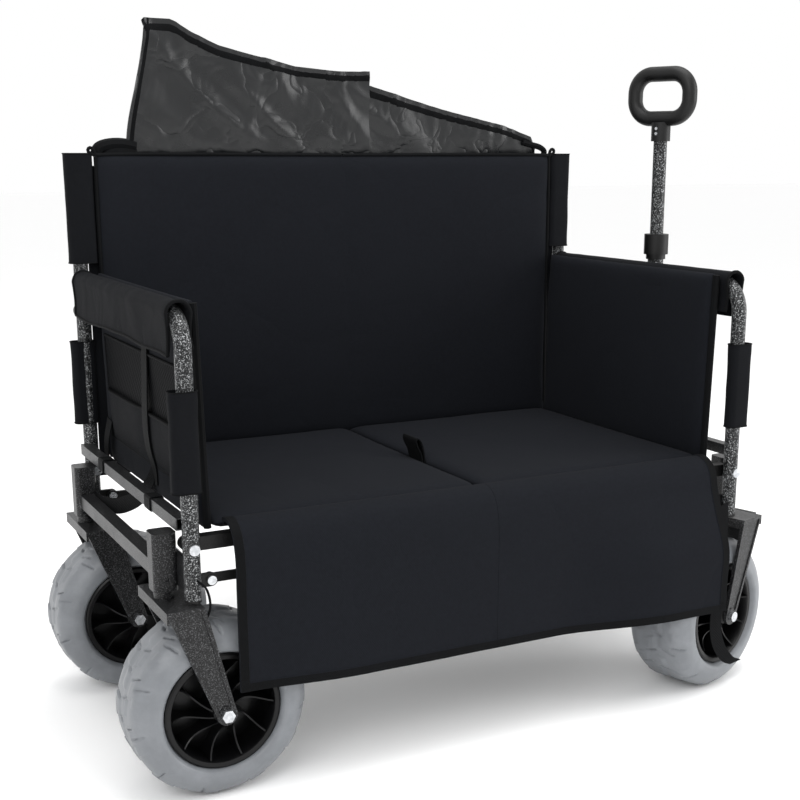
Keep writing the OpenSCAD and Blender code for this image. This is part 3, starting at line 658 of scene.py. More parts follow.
for side in (-1, 1):
    join(*turned([(0.0790, side * 0.0400), (0.0790, side * 0.0490),
                  (0.0765, side * 0.0505), (0.0715, side * 0.0500),
                  (0.0700, side * 0.0480), (0.0690, side * 0.0300),
                  (0.0670, side * 0.0060), (0.0755, side * 0.0060),
                  (0.0770, side * 0.0300)]))
    join(*turned([(0.0680, side * 0.0050), (0.0680, side * 0.0080),
                  (0.0460, side * 0.0120), (0.0280, side * 0.0090),
                  (0.0150, side * 0.0110), (0.0150, side * 0.0050)]))
    join(*turned([(0.0055, side * 0.0080), (0.0055, side * 0.0565),
                  (0.0120, side * 0.0565), (0.0150, side * 0.0530),
                  (0.0165, side * 0.0300), (0.0190, side * 0.0090)]))
    ribs = 10
    for r in range(ribs):
        base = len(hub_points)
        for k in range(9):
            t = k / 8
            reach = 0.0155 + (0.0685 - 0.0155) * t
            bend = math.tau * r / ribs + side * 0.42 * math.sin(t * math.pi / 2)
            top = side * (0.050 - 0.016 * math.sin(t * math.pi))
            for half, level in ((-1, side * 0.006), (-1, top), (1, top),
                                (1, side * 0.006)):
                angle = bend + half * 0.0011 / reach
                hub_points.append((reach * math.cos(angle), level,
                                   reach * math.sin(angle)))
        for k in range(8):
            for j in range(4):
                a, b, n = base + k * 4, base + k * 4 + 4, (j + 1) % 4
                hub_faces.append((a + j, a + n, b + n, b + j))
hub_model = piece("hub_model", hub_points, hub_faces, hub_plastic, sharp=35)
print("hub", len(hub_points), "points")

# %% Hang the four wheels
RIGHT_TURNS = {"front_right": 197.0, "rear_right": 172.0}
wheels = {}
for corner in ("front_left", "rear_left", "front_right", "rear_right"):
    low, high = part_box(corner + "_tyre")
    middle = (low + high) / 2
    place = Matrix.Translation(middle) @ Matrix.Rotation(
        math.radians(RIGHT_TURNS.get(corner, 0.0)), 4, "Z") @ Matrix.Rotation(
        math.radians({"front_left": 11, "rear_left": 40}.get(corner, 70)), 4, "Y")
    for part, model, slot in (("tyre", tyre_model, "tyre_pvc"),
                              ("rim", hub_model, "black_plastic")):
        mesh = model.data.copy()
        mesh.transform(place)
        made = bpy.data.objects.new(f"{corner}_{part}_moulding", mesh)
        scene.collection.objects.link(made)
        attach(made, corner + "_wheel")
        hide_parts(f"{corner}_{part}")
    wheels[corner] = middle
for model in (tyre_model, hub_model):
    bpy.data.objects.remove(model)
print("wheels", {k: tuple(round(c, 3) for c in v) for k, v in wheels.items()})

# %% [markdown]
# ## Padded panels
# The seat, the backrest and the two end walls are fabric bags over thin foam
# boards, with a tape sewn round the edge. Each starts as a flat box that is
# a little small. The cloth simulation then blows it up softly from inside,
# as foam fills a cover, and a cap keeps any point from moving too far. The
# tape and the seams come after, because the remesh would swallow them.

# %% Blow up a pad
def puffed(thing, cap, pressure=3.0, voxel=0.007, frames=14):
    rest = [v.co.copy() for v in thing.data.vertices]
    size = thing.modifiers.new("even_mesh", "REMESH")
    size.mode, size.voxel_size = "VOXEL", voxel
    bpy.context.view_layer.objects.active = thing
    thing.select_set(True)
    bpy.ops.object.modifier_apply(modifier=size.name)
    rest = [v.co.copy() for v in thing.data.vertices]
    bag = thing.modifiers.new("bag", "CLOTH")
    bag.settings.quality = 4
    bag.settings.mass = 0.4
    bag.settings.use_pressure = True
    bag.settings.uniform_pressure_force = pressure
    bag.settings.tension_stiffness = bag.settings.compression_stiffness = 30
    bag.settings.bending_stiffness = 2.0
    bag.settings.effector_weights.gravity = 0
    bag.point_cache.frame_start, bag.point_cache.frame_end = 1, frames
    for f in range(1, frames + 1):
        scene.frame_set(f)
    seen = thing.evaluated_get(bpy.context.evaluated_depsgraph_get()).to_mesh()
    moved = [v.co.copy() for v in seen.vertices]
    thing.evaluated_get(bpy.context.evaluated_depsgraph_get()).to_mesh_clear()
    thing.modifiers.remove(bag)
    scene.frame_set(1)
    for vertex, was, now in zip(thing.data.vertices, rest, moved):
        step = now - was
        if step.length > cap:
            step = step.normalized() * cap
        vertex.co = was + step
    thing.select_set(False)
    smoother = thing.modifiers.new("soften", "SMOOTH")
    smoother.iterations = 6
    bpy.context.view_layer.objects.active = thing
    bpy.ops.object.modifier_apply(modifier=smoother.name)
    thing.data.shade_smooth()
    return thing


def pad_grid(corner, right, up, columns, rows, lift, bulge):
    # A grid over the parallelogram at corner, pushed out by bulge inside its rim.
    out = right.cross(up).normalized()
    wide, tall = right.length, up.length
    found = []
    for v in steps(0, 1, rows, 0.6):
        line = []
        for u in steps(0, 1, columns, 0.6):
            inset = min(u * wide, (1 - u) * wide, v * tall, (1 - v) * tall)
            crown = 1 - math.exp(-inset / 0.018)
            line.append(corner + right * u + up * v + out * (lift * crown
                        + bulge(u, v) * crown))
        found.append(line)
    return found


def pad(name, corner, right, up, thick, columns, rows, bulge, cap, coat=pad_cloth,
        **more):
    corner, right, up = Vector(corner), Vector(right), Vector(up)
    out = right.cross(up).normalized()
    front = pad_grid(corner + out * thick * 0.22, right, up, columns, rows,
                     thick * 0.28, bulge)
    back = pad_grid(corner - out * thick * 0.22, right, up, columns, rows,
                    -thick * 0.28, lambda u, v: 0.0)
    thing = puffed(slab(name, front, back, coat, sharp=80), cap)
    # The remesh draws the edges in, so the pad is stretched back to its size.
    middle = corner + (right + up) / 2
    for way in (right, up):
        unit = way.normalized()
        reach = max(abs((v.co - middle).dot(unit)) for v in thing.data.vertices)
        grow = way.length / 2 / reach - 1
        for vertex in thing.data.vertices:
            vertex.co += unit * (vertex.co - middle).dot(unit) * grow
    return thing


print("pad tools ready")

# %% [markdown]
# ## Backrest
# One padded board as wide as the bench, folded down its middle when the cart
# closes. It is a single cover on the real cart, so it is one piece here. A
# faint upright seam runs down each side where the cover is sewn to the post
# sleeves.

# %% Back cushion
low, high = box_of("left_back_panel", "right_back_panel")
thick = high.y - low.y
middle_y = (low.y + high.y) / 2


def back_waves(u, v):
    dip = -0.0022 * math.exp(-((u - 0.5) / 0.02) ** 2)
    sag = 0.0020 * math.sin(math.pi * u) * math.sin(math.pi * v)
    return dip + sag + 0.0012 * waver((u * 0.8, 0, v * 0.45), 0.16, 3.0)


foot_z = low.z - 0.016
back = pad("back_cushion", (low.x + 0.001, middle_y, foot_z),
           (high.x - low.x - 0.002, 0, 0), (0, 0, high.z - foot_z - 0.003),
           thick, 90, 46, back_waves, 0.003)
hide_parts("left_back_panel", "right_back_panel")
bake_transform(back)
for side, body in ((-1, "left_back"), (1, "right_back")):
    edge = side * (high.x - 0.003)
    front = low.y + 0.004
    corners = [(side * 0.0012, front, high.z - 0.004), (edge * 0.5, front, high.z - 0.003),
               (edge - side * 0.006, front, high.z - 0.004), (edge, front, high.z - 0.012),
               (edge, front, (low.z + high.z) / 2), (edge, front, low.z + 0.006)]
    gusset = [(edge + side * 0.002, high.y - 0.0012, z) for z in
              steps(low.z - 0.012, high.z - 0.02, 12)]
    ribbon("back_gusset_" + body, gusset, (0.030, 0, 0), 0.0020, shell_cloth,
           body=body, slot="shell_fabric")
    piping("back_top_tape_" + body, smooth_path(corners, 10), 0.0028, tape_cloth,
           body=body, slot="shell_fabric")
    seam = [(edge - side * 0.020, low.y + 0.0022, z)
            for z in steps(low.z + 0.01, high.z - 0.012, 30)]
    piping("back_side_seam_" + body, seam, 0.0011, tape_cloth, body=body,
           slot="shell_fabric")
print("backrest", [round(b - a, 3) for a, b in zip(low, high)])

# %% [markdown]
# ## Seat
# The seat is two padded boards that meet at a fold in the middle. Each half
# lies on its deck rails.

# %% Seat cushions
seat_low, seat_high = box_of("left_seat_pad", "right_seat_pad", "left_seat_strip",
                             "right_seat_strip")
seat_thick = seat_high.z - seat_low.z
REAR_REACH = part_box("left_back_panel")[0].y - 0.001
for side, end, deck in ((-1, "left_end", "left_deck"), (1, "right_end", "right_deck")):
    name = ("left", "right")[side > 0]
    pad_low, pad_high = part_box(name + "_seat_pad")
    strip_low, strip_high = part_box(name + "_seat_strip")
    near = min(abs(pad_low.x), abs(pad_high.x))
    far = max(abs(strip_low.x), abs(strip_high.x))
    left_x = min(side * near, side * far)
    cad_mid_y = (pad_low.y + REAR_REACH) / 2

    def seat_waves(u, v):
        dip = 0.0016 * math.sin(math.pi * u) * math.sin(math.pi * v)
        return dip + 0.0013 * waver((u * 0.4, v * 0.45, 0), 0.11, 7.0 + side)

    cushion = pad(name + "_seat_cushion",
                  (left_x + 0.001, pad_low.y + 0.002, (seat_low.z + seat_high.z) / 2),
                  (far - near - 0.002, 0, 0), (0, REAR_REACH - pad_low.y - 0.002, 0),
                  seat_thick, 50, 52, seat_waves, 0.0022)
    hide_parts(name + "_seat_pad", name + "_seat_strip")
    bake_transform(cushion)
    lap = [(side * x, 0.0, seat_low.z + 0.0035) for x in steps(0.0, 0.040, 14)]
    strip = ribbon(name + "_seat_fold_strip", [Vector(p) + Vector((0, cad_mid_y, 0))
                   for p in lap], (0, REAR_REACH - pad_low.y - 0.004, 0), 0.0016,
                   shell_cloth, slot="shell_fabric")
    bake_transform(strip)
print("seat top", round(seat_high.z, 3))

# %% [markdown]
# ## End walls
# The two end walls hang inside the arm tubes and lean in a little towards the
# seat. They are thin padded boards with a taped rim.

# %% Wall pads
WALL_THICK = 0.013
for side, end in ((-1, "left_end"), (1, "right_end")):
    name = ("left", "right")[side > 0]
    low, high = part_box(name + "_side_panel")
    top_x = max(abs(low.x), abs(high.x)) - WALL_THICK / 2
    foot_x = min(abs(low.x), abs(high.x)) + WALL_THICK / 2
    if side > 0:
        corner = (foot_x, REAR_REACH, low.z + 0.002)
        right = (0, low.y - REAR_REACH + 0.002, 0)
        up = (top_x - foot_x, 0, high.z - low.z - 0.004)
    else:
        corner = (-foot_x, low.y + 0.002, low.z + 0.002)
        right = (0, REAR_REACH - low.y - 0.002, 0)
        up = (foot_x - top_x, 0, high.z - low.z - 0.004)

    def wall_waves(u, v):
        return (0.002 * math.sin(math.pi * u) * math.sin(math.pi * v)
                + 0.0022 * waver((0, u * 0.43, v * 0.3), 0.13, 11.0 + side))

    wall = pad(name + "_wall_pad", corner, right, up, WALL_THICK, 50, 34, wall_waves,
               0.0025)
    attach(wall, end)
    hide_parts(name + "_side_panel")
    rim = []
    for z in steps(low.z + 0.004, high.z - 0.004, 12):
        t = (z - low.z) / (high.z - low.z)
        rim.append((side * (foot_x + (top_x - foot_x) * t), low.y - 0.001, z))
    piping(name + "_wall_front_tape", rim, 0.0052, tape_cloth, body=end,
           slot="shell_fabric")
print("wall thickness", WALL_THICK)

# %% [markdown]
# ## Arm sleeves
# A long fold of padded cloth goes over each arm tube and hangs down both
# sides. It closes under the tube with tape that can't be seen. The section
# is an upside-down U that is wider at the bottom than at the tube, carried
# along the tube with small waves, so that the hem is never quite straight.

# %% Drape the sleeves
def sleeve_section(y, box_low, box_high, side, seed):
    centre = (box_low.x + box_high.x) / 2
    half = (box_high.x - box_low.x) / 2 - 0.001
    crown = box_high.z - half
    found = []
    hem_out = box_low.z + 0.005 * waver((y, 0, 0), 0.12, seed)
    hem_in = box_low.z + 0.006
    length = box_high.y - box_low.y
    for t in steps(0, 1, 12):
        z = hem_in + (crown - hem_in) * t
        belly = 0.0012 * waver((y, z, 0), 0.07, seed + 5)
        found.append(Vector((centre - side * (half - 0.0022 * math.sin(math.pi * t)
                                              - abs(belly)), y, z)))
    for t in steps(0, math.pi, 14)[1:-1]:
        found.append(Vector((centre - side * half * math.cos(t) * 0.97, y,
                             crown + (half - 0.0005) * math.sin(t)
                             - 0.0012 * abs(waver((y, t, 0), 0.1, seed)))))
    for t in steps(0, 1, 16):
        z = crown + (hem_out - crown) * t
        belly = 0.0016 * waver((y, z, 0), 0.06, seed + 9)
        found.append(Vector((centre + side * (half - 0.0018 * math.sin(math.pi * t)
                                              + belly - 0.001), y, z)))
    return found


for side, end in ((-1, "left_end"), (1, "right_end")):
    name = ("left", "right")[side > 0]
    low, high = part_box(name + "_arm_sleeve")
    grid = [sleeve_section(y, low, high, side, 2.0 + side)
            for y in steps(low.y, high.y, 60)]
    sleeve = sheet_of(name + "_arm_sleeve_cloth", grid, 0.0022 * -side, shell_cloth,
                      body=end, slot="shell_fabric", sharp=70)
    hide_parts(name + "_arm_sleeve")
    for part, spot in (("front", 0), ("rear", -1)):
        piping(f"{name}_arm_{part}_hem", grid[spot], 0.0024, tape_cloth, body=end,
               slot="shell_fabric")
    piping(name + "_arm_low_hem", [row[-1] for row in grid], 0.0021, tape_cloth,
           body=end, slot="shell_fabric")
print("sleeves", 2)

# %% [markdown]
# ## Post sleeves
# Short fabric tubes hold the walls and the backrest to the posts. Each is a
# strap of the shell fabric wrapped round the post and sewn flat behind it,
# so its outline is round in front and flat at the back.

# %% Wrap the posts
def wrap(name, low, high, body, seed):
    wide, deep = high.x - low.x, high.y - low.y
    corner = min(wide, deep) * 0.42
    outline = []
    for cx, cy, start in ((high.x - corner, high.y - corner, 0),
                          (low.x + corner, high.y - corner, 90),
                          (low.x + corner, low.y + corner, 180),
                          (high.x - corner, low.y + corner, 270)):
        for k in range(7):
            a = math.radians(start + 15 * k)
            outline.append((cx + corner * math.cos(a), cy + corner * math.sin(a)))
    outline.append(outline[0])
    grid = []
    for z in steps(low.z, high.z, 22):
        t = (z - low.z) / (high.z - low.z)
        pinch = 0.0005 * math.sin(math.pi * t)
        row = []
        for x, y in outline:
            sway = 0.0012 * waver((x, y, z), 0.05, seed)
            spot = Vector((x, y, z))
            middle = Vector(((low.x + high.x) / 2, (low.y + high.y) / 2, z))
            inward = (middle - spot).normalized()
            row.append(spot + inward * (pinch + abs(sway)))
        grid.append(row)
    cover = sheet_of(name, grid, -0.0018, shell_cloth, body=body, slot="shell_fabric",
                     sharp=70)
    for part, row in (("low", grid[0]), ("high", grid[-1])):
        piping(f"{name}_{part}_hem", row[:-1], 0.0009, tape_cloth, closed=True, body=body,
               slot="shell_fabric")
    return cover, sum((b - a).length for a, b in zip(grid[0], grid[0][1:]))


def islands(node):
    # The separate solids of a node, as low and high corners.
    mesh = bmesh.new()
    mesh.from_mesh(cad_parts[node].data)
    bmesh.ops.remove_doubles(mesh, verts=mesh.verts, dist=1e-6)
    left, found = set(mesh.verts), []
    while left:
        queue, group = [left.pop()], []
        while queue:
            here = queue.pop()
            group.append(here.co.copy())
            for edge in here.link_edges:
                other = edge.other_vert(here)
                if other in left:
                    left.remove(other)
                    queue.append(other)
        found.append((Vector(map(min, zip(*group))), Vector(map(max, zip(*group)))))
    mesh.free()
    return sorted(found, key=lambda b: (round(b[0].z, 3), b[0].y))


for side, end in ((-1, "left_end"), (1, "right_end")):
    name = ("left", "right")[side > 0]
    node = name + "_post_sleeves"
    for label, (low, high) in zip(("front_tab", "rear_tab", "wing"), islands(node)):
        cover, round_it = wrap(f"{name}_{label}", low, high, end, 4.0 + side)
        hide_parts(node)
print("post sleeves", 6)

# %% [markdown]
# ## Front flap
# The seat's cover carries on over the front rail and hangs down as a skirt,
# with a wide bound hem on its three free sides. The cart closes by folding
# in the middle, so the skirt is made as two halves that meet edge to edge,
# one on each seat board. Each is one sheet, cut as a grid. The grid has extra
# lines beside the hem, so that the binding stands up as a crisp step.

# %% Hemmed sheets
HEM_WIDE = 0.012


def hem_lines(low, high, count, hem_low, hem_high):
    lines = steps(low, high, count)
    step, rise = 0.0004, (high - low) / count
    for wanted, edge, way in ((hem_low, low, 1), (hem_high, high, -1)):
        if wanted:
            lines = [v for v in lines if v == edge or abs(v - edge) > HEM_WIDE + rise / 3]
            lines += [edge + way * (HEM_WIDE - step), edge + way * (HEM_WIDE + step)]
    return sorted(lines)


def hemmed(name, grid, in_hem, thick, lift, coat, **more):
    out = normals_of(grid)
    front, back = [], []
    for i, row in enumerate(grid):
        raised_by = [lift if in_hem(i, j) else 0.0 for j in range(len(row))]
        front.append([p - n * (thick / 2 + r) for p, n, r in zip(row, out[i], raised_by)])
        back.append([p + n * (thick / 2 + r) for p, n, r in zip(row, out[i], raised_by)])
    thing = slab(name, front, back, coat, sharp=50, **more)
    thing.data.materials.append(tape_cloth)
    cells = len(grid[0]) - 1
    for number, face in enumerate(thing.data.polygons[:2 * cells * (len(grid) - 1)]):
        i, j = divmod(number // 2, cells)
        if in_hem(i, j) and in_hem(i + 1, j + 1):
            face.material_index = 1
    return thing


def smooth_step(value, low, high):
    t = min(max((value - low) / (high - low), 0.0), 1.0)
    return t * t * (3 - 2 * t)


print("hem width", HEM_WIDE)

# %% Hang the flap
flap_low, flap_high = box_of("left_flap", "right_flap")
crease = Vector((0, flap_high.y, flap_high.z - 0.0005))


def flap_profile(x):
    swell = 0.032 * smooth_step(x, 0.10, 0.30)
    corner_lift = 0.008 * smooth_step(-x, 0.20, 0.385)
    hang = [(crease.y, crease.z), (crease.y - 0.016, crease.z + 0.0022),
            (crease.y - 0.033, crease.z - 0.006), (crease.y - 0.043, crease.z - 0.022),
            (crease.y - 0.0485, crease.z - 0.045)]
    for z in (0.290, 0.240, 0.190, flap_low.z + corner_lift):
        wave = 0.0035 * waver((x, 0, z), 0.13, 21.0) * smooth_step(0.335 - z, 0.0, 0.12)
        hang.append((crease.y - 0.0495 - swell * smooth_step(0.332 - z, 0.0, 0.10) + wave,
                     z))
    fine = smooth_path([(0, y, z) for y, z in hang], 8)
    found = [0.0]
    for a, b in zip(fine, fine[1:]):
        found.append(found[-1] + (b - a).length)
    return fine, found


def along_path(fine, lengths, want):
    k = max(i for i, v in enumerate(lengths[:-1]) if v <= want + 1e-9)
    t = (want - lengths[k]) / (lengths[k + 1] - lengths[k])
    return fine[k].lerp(fine[k + 1], min(t, 1.0))


for side, body, deck in ((-1, "left_front_flap", "left_deck"),
                         (1, "right_front_flap", "right_deck")):
    name = ("left", "right")[side > 0]
    low_x, high_x = sorted((side * 0.0002, flap_low.x if side < 0 else flap_high.x))
    columns = hem_lines(low_x, high_x, 46, side < 0, side > 0)
    drop = flap_profile(0.0)[1][-1]
    rows = hem_lines(0.0, drop, 44, False, True)
    grid = []
    for reach in rows:
        line = []
        for x in columns:
            fine, lengths = flap_profile(x)
            spot = along_path(fine, lengths, reach * lengths[-1] / drop)
            line.append(Vector((x, spot.y, spot.z)))
        grid.append(line)
    outer_x = low_x if side < 0 else high_x
    flap = hemmed(name + "_flap_cloth", grid,
                  lambda i, j: rows[i] > drop - HEM_WIDE
                  or abs(columns[j] - outer_x) < HEM_WIDE, 0.0030, 0.0011,
                  pad_cloth, body=body, slot="pad_fabric")
    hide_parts(name + "_flap")
    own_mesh(flap)
print("flap drop", round(drop, 3))

# %% [markdown]
# ## Stowed cover
# Behind the backrest hangs the cart's own cover, unfolded from the bag and
# pushed over the top. It is thin coated nylon in two layers: the near one
# rises to a peak over the left post and ends just past the middle, and the
# far one slopes down to the right post. Such cloth puckers in long shallow
# folds that fan out from the peak, and in short ones that start at the rolled
# hem. Ridged noise, stretched along the fall of the cloth, gives both. The
# folds are real geometry, because their shine is what the eye reads.

# %% Cover cloth
cover_low = box_of("left_cover", "right_cover")[0]
LEFT_TOP = [(-0.385, 0.829), (-0.356, 0.834), (-0.320, 1.0245), (-0.305, 1.021),
            (-0.282, 1.010), (-0.219, 0.989), (-0.146, 0.975), (-0.078, 0.962),
            (-0.008, 0.956), (0.054, 0.957)]
RIGHT_TOP = [(0.004, 0.946), (0.054, 0.937), (0.123, 0.918), (0.219, 0.895),
             (0.320, 0.873), (0.373, 0.856), (0.385, 0.834)]


def height_at(outline, x):
    for (x0, z0), (x1, z1) in zip(outline, outline[1:]):
        if x <= x1:
            return z0 + (z1 - z0) * max(x - x0, 0.0) / (x1 - x0)
    return outline[-1][1]


def puckers(x, z, top, seed):
    lean = math.radians(-34)
    along = x * math.cos(lean) + z * math.sin(lean)
    across = -x * math.sin(lean) + z * math.cos(lean)
    fall = 1 - 2.4 * abs(waver((along / 0.22, across / 0.055, 0), 1.0, seed))
    loose = waver((x / 0.11, z / 0.07, 0), 1.0, seed + 3)
    at_hem = math.exp(-max(top - z, 0.0) / 0.040)
    gathers = 1 - 2.2 * abs(waver((x / 0.026, z / 0.10, 0), 1.0, seed + 8))
    return 0.62 * fall + 0.38 * loose + 0.30 * at_hem * gathers


PEAK_X, FOLD_DEPTH, CLOTH_THICK = -0.320, 0.0085, 0.0032


def cover_layer(name, outline, low_x, high_x, front_y, seed, columns, rows, **more):
    # The near layer's left edge leans in, from the post up to the peak.
    peaked = low_x < PEAK_X
    inner = [p for p in outline if p[0] >= PEAK_X - 0.001] if peaked else outline
    grid = []
    for v in steps(0, 1, rows):
        line = []
        for u in steps(0, 1, columns):
            x = low_x + (high_x - low_x) * u
            top = height_at(inner, max(x, inner[0][0]) if peaked else x)
            z = cover_low.z + (top - cover_low.z) * v
            lean_in = smooth_step(z, 0.835, top) if peaked else 0.0
            shift = (inner[0][0] - low_x) * (1 - u) ** 3 * lean_in
            shift += (0.030 * (1 - u) ** 3 * peaked * smooth_step(z, 0.800, 0.850)
                      * (1 - lean_in))
            free = smooth_step(z, 0.815, 0.87)
            fold = puckers(x + shift, z, top, seed)
            y = (front_y + 0.0022 * (1 - free)
                 + (-FOLD_DEPTH * fold + 0.001) * (0.25 + 0.75 * free))
            y = max(y, front_y) if z < 0.832 else y
            line.append(Vector((x + shift, y, z)))
        grid.append(line)
    return grid, sheet_of(name, grid, CLOTH_THICK, nylon, slot="cover_nylon", sharp=80,
                          **more)


left_grid, left_layer = cover_layer("cover_near_layer", LEFT_TOP, -0.384, 0.054,
                                    cover_low.y + 0.0006, 31.0, 110, 84)
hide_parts("left_cover")
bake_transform(left_layer)
right_grid, right_layer = cover_layer("cover_far_layer", RIGHT_TOP, 0.004, 0.384,
                                      cover_low.y + 0.0066, 57.0, 100, 64,
                                      body="right_back")
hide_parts("right_cover")
print("cover peak", round(max(p.z for p in left_grid[-1]), 3))

# %% Rolled hems of the cover
HEM_LIFT = (0.0003, 0.0028, 0.0036, 0.0036, 0.0030, 0.0004)


def hem_band(name, lines, **more):
    # A rolled hem: the cover's own outer lines of points, lifted off its cloth.
    grid = [[p - Vector((0, lift, 0)) for p in line]
            for line, lift in zip(lines, HEM_LIFT)]
    return sheet_of(name, grid, 0.0072, tape_cloth, slot="cover_nylon", sharp=70, **more)


hem = hem_band("cover_near_hem", left_grid[-1:-7:-1])
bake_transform(hem)
upper = [row for row in left_grid if row[0].z > 0.79]
hem_band("cover_side_hem", [[row[k] for row in upper] for k in range(6)],
         body="left_back")
hem_band("cover_far_hem", right_grid[-1:-7:-1], body="right_back")
for number, roll in enumerate((
        [(-0.401, 0.824), (-0.396, 0.834), (-0.382, 0.839), (-0.362, 0.840),
         (-0.340, 0.836)],
        [(-0.392, 0.818), (-0.380, 0.826), (-0.362, 0.828), (-0.340, 0.826)])):
    piping(f"cover_corner_roll_{number}",
           smooth_path([(x, cover_low.y + 0.003, z) for x, z in roll], 6),
           0.0092, tape_cloth, body="left_back", slot="cover_nylon")
loop = [(0.356, 0.846), (0.374, 0.842), (0.392, 0.838), (0.402, 0.831), (0.398, 0.822),
        (0.380, 0.822)]
piping("cover_tie_loop", smooth_path([(x, cover_low.y + 0.001, z) for x, z in loop], 6),
       0.0052, tape_cloth, body="right_back", slot="webbing")
print("cover hems", 3)

# %% [markdown]
# ## Side pocket
# Outside the left wall there is a pocket in two parts: a band of open
# knitted mesh above, and a flat cloth pouch below with a bound mouth. A web
# strap runs down over the middle. The pouch is a shallow pad whose mouth
# stands off the wall, and the mesh is a thin sheet stretched over it.

# %% Sew the pocket
wall_low, wall_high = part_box("left_side_panel")
pocket_low, pocket_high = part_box("left_pocket")
POUCH_TOP = 0.478


def wall_face(z, out):
    t = (z - wall_low.z) / (wall_high.z - wall_low.z)
    foot = wall_high.x - WALL_THICK
    return foot + (wall_low.x - foot) * t - out


def wall_grid(low_z, high_z, out, columns=44, rows=16):
    grid = []
    for v in steps(0, 1, rows):
        z = low_z + (high_z - low_z) * v
        across = zip(steps(0, 1, columns), steps(pocket_low.y, pocket_high.y, columns))
        grid.append([Vector((wall_face(z, out(u, v)), y, z)) for u, y in across])
    return grid


def pouch_out(u, v):
    rim = min(u, 1 - u) * (pocket_high.y - pocket_low.y)
    crown = (1 - math.exp(-rim / 0.012)) * (1 - math.exp(-v / 0.25))
    strap = math.exp(-((u - 0.5) / 0.05) ** 2)
    return 0.0012 + crown * (0.0078 - 0.004 * strap
                             + 0.0012 * waver((u * 0.36, v * 0.08, 0), 0.06, 13.0))


pouch_grid = wall_grid(pocket_low.z, POUCH_TOP, pouch_out)
pouch = slab("left_pouch", pouch_grid, wall_grid(pocket_low.z, POUCH_TOP,
             lambda u, v: 0.0006), shell_cloth, body="left_end", slot="shell_fabric",
             sharp=60)
mesh_grid = wall_grid(POUCH_TOP - 0.02, pocket_high.z + 0.008,
                      lambda u, v: 0.0026 + 0.0012 * math.sin(math.pi * u))
mesh_band = slab("left_mesh_band", mesh_grid, wall_grid(
    POUCH_TOP - 0.02, pocket_high.z + 0.008, lambda u, v: 0.0008), netting,
    body="left_end", slot="shell_fabric", sharp=60)
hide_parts("left_pocket")
for made, grid in ((pouch, pouch_grid), (mesh_band, mesh_grid)):
    wide = pocket_high.y - pocket_low.y
for label, row in (("pouch", pouch_grid[-1]), ("mesh", mesh_grid[-1]),
                   ("foot", pouch_grid[0])):
    piping(f"pocket_{label}_binding", row, 0.0022, tape_cloth, body="left_end",
           slot="shell_fabric")
for label, column in (("front", 0), ("rear", -1)):
    edge = [row[column] for row in pouch_grid] + [row[column] for row in mesh_grid[4:]]
    piping(f"pocket_{label}_binding", edge, 0.0018, tape_cloth, body="left_end",
           slot="shell_fabric")
print("pocket", round(pocket_high.y - pocket_low.y, 3))

# %% [markdown]
# ## Webbing
# Flat polyester webbing does the rest: a pull loop that sticks up between
# the seat boards to fold the cart, straps that tie the walls down to the
# frame, loops round the upper cross bars and a loose tail. A ribbon with
# three points across keeps a slight crown, which catches the light as real
# webbing does.

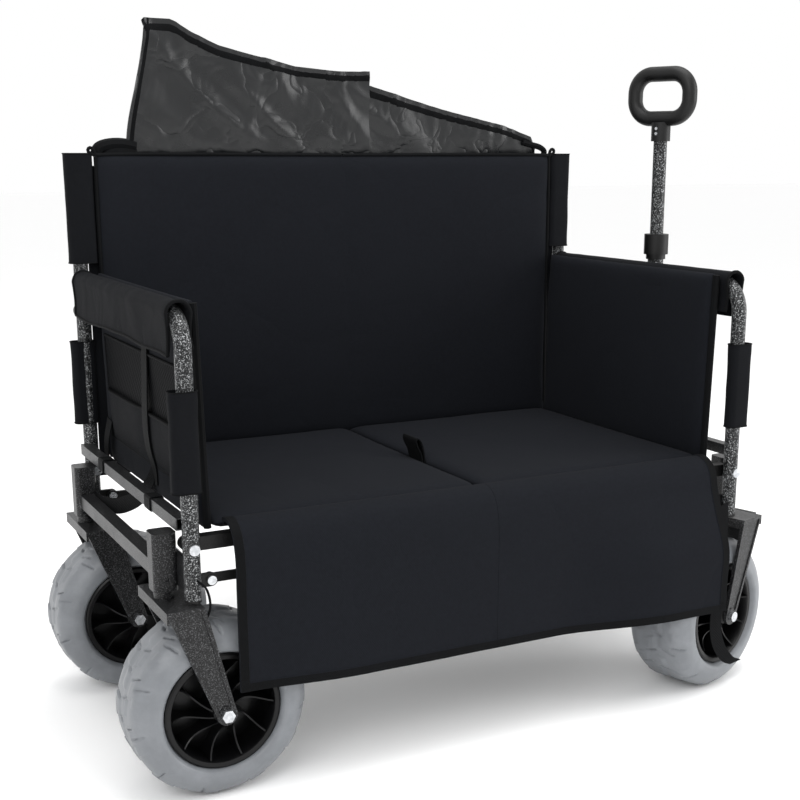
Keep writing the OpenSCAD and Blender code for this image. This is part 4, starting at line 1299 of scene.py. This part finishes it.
# %% Straps
strap_low, strap_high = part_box("pull_strap")
middle = (strap_low + strap_high) / 2
lean = [(0.0016, strap_low.z + 0.004), (0.0014, 0.366), (-0.0005, 0.384),
        (-0.0050, 0.398), (-0.0105, strap_high.z + 0.0012), (-0.0128, 0.3995), (-0.0105, 0.391),
        (-0.0050, 0.380), (-0.0022, 0.366), (-0.0012, strap_low.z + 0.004)]
pull = ribbon("pull_loop", smooth_path([(x, middle.y, z) for x, z in lean], 6),
              (0, strap_high.y - strap_low.y, 0), 0.0017, webbing, body="centre_hub",
              slot="webbing")
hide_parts("pull_strap")
STRAPS = {
    "left_wall_strap": ("left_end", (0, 0.025, 0), [
        (wall_face(0.60, 0.004), -0.012, 0.600), (wall_face(0.55, 0.0065), -0.012, 0.550),
        (wall_face(0.47, 0.0115), -0.012, 0.470), (wall_face(0.43, 0.0100), -0.012, 0.430),
        (wall_face(0.40, 0.0040), -0.011, 0.400), (wall_face(0.375, 0.0030), -0.008, 0.375)]),
    "left_wall_tie": ("left_end", (0, 0.010, 0.022), [
        (-0.4140, -0.006, 0.392), (-0.4200, 0.010, 0.366), (-0.4280, 0.045, 0.342),
        (-0.4385, 0.095, 0.322), (-0.4460, 0.150, 0.312), (-0.4470, 0.200, 0.308)]),
    "left_rear_tie": ("left_end", (0, 0.024, 0.004), [
        (-0.4180, 0.205, 0.430), (-0.4225, 0.213, 0.398), (-0.4220, 0.219, 0.370),
        (-0.4205, 0.223, 0.345)]),
    "right_hanging_tail": ("right_end", (0.022, 0, 0.004), [
        (0.4040, -0.252, 0.300), (0.4010, -0.258, 0.240), (0.3960, -0.262, 0.170),
        (0.3920, -0.2645, 0.110), (0.3990, -0.2665, 0.076), (0.4160, -0.2680, 0.052),
        (0.4350, -0.2660, 0.042)]),
}
for label, (body, wide, path) in STRAPS.items():
    ribbon(label, smooth_path(path, 8), wide, 0.0016, webbing, body=body, slot="webbing")
for side, end in ((-1, "left_end"), (1, "right_end")):
    bar_low, bar_high = islands(("left", "right")[side > 0] + "_cross_bars")[-1]
    x0, x1 = bar_low.x - 0.0012, bar_high.x + 0.0012
    z0, z1 = bar_low.z - 0.0012, bar_high.z + 0.0012
    for number, y in enumerate((-0.105, 0.135)):
        around_bar = [(x0, y, z0), (x1, y, z0), (x1, y, z1), (x0, y, z1)]
        lap = [Vector(around_bar[k % 4]) for k in range(5)]
        path = [a.lerp(b, t) for a, b in zip(lap, lap[1:]) for t in (0.08, 0.5, 0.92)]
        ribbon(f"{end}_bar_loop_{number}", path + [path[0]], (0, 0.025, 0), 0.0014,
               webbing, body=end, slot="webbing")
piping("left_lacing", smooth_path([(-0.433, -0.2425, 0.305), (-0.422, -0.246, 0.292),
                                   (-0.4185, -0.247, 0.270), (-0.4245, -0.245, 0.252),
                                   (-0.433, -0.2425, 0.243)], 8), 0.0016, tape_cloth,
       body="left_end", slot="webbing")
print("webbing", len(STRAPS) + 5)
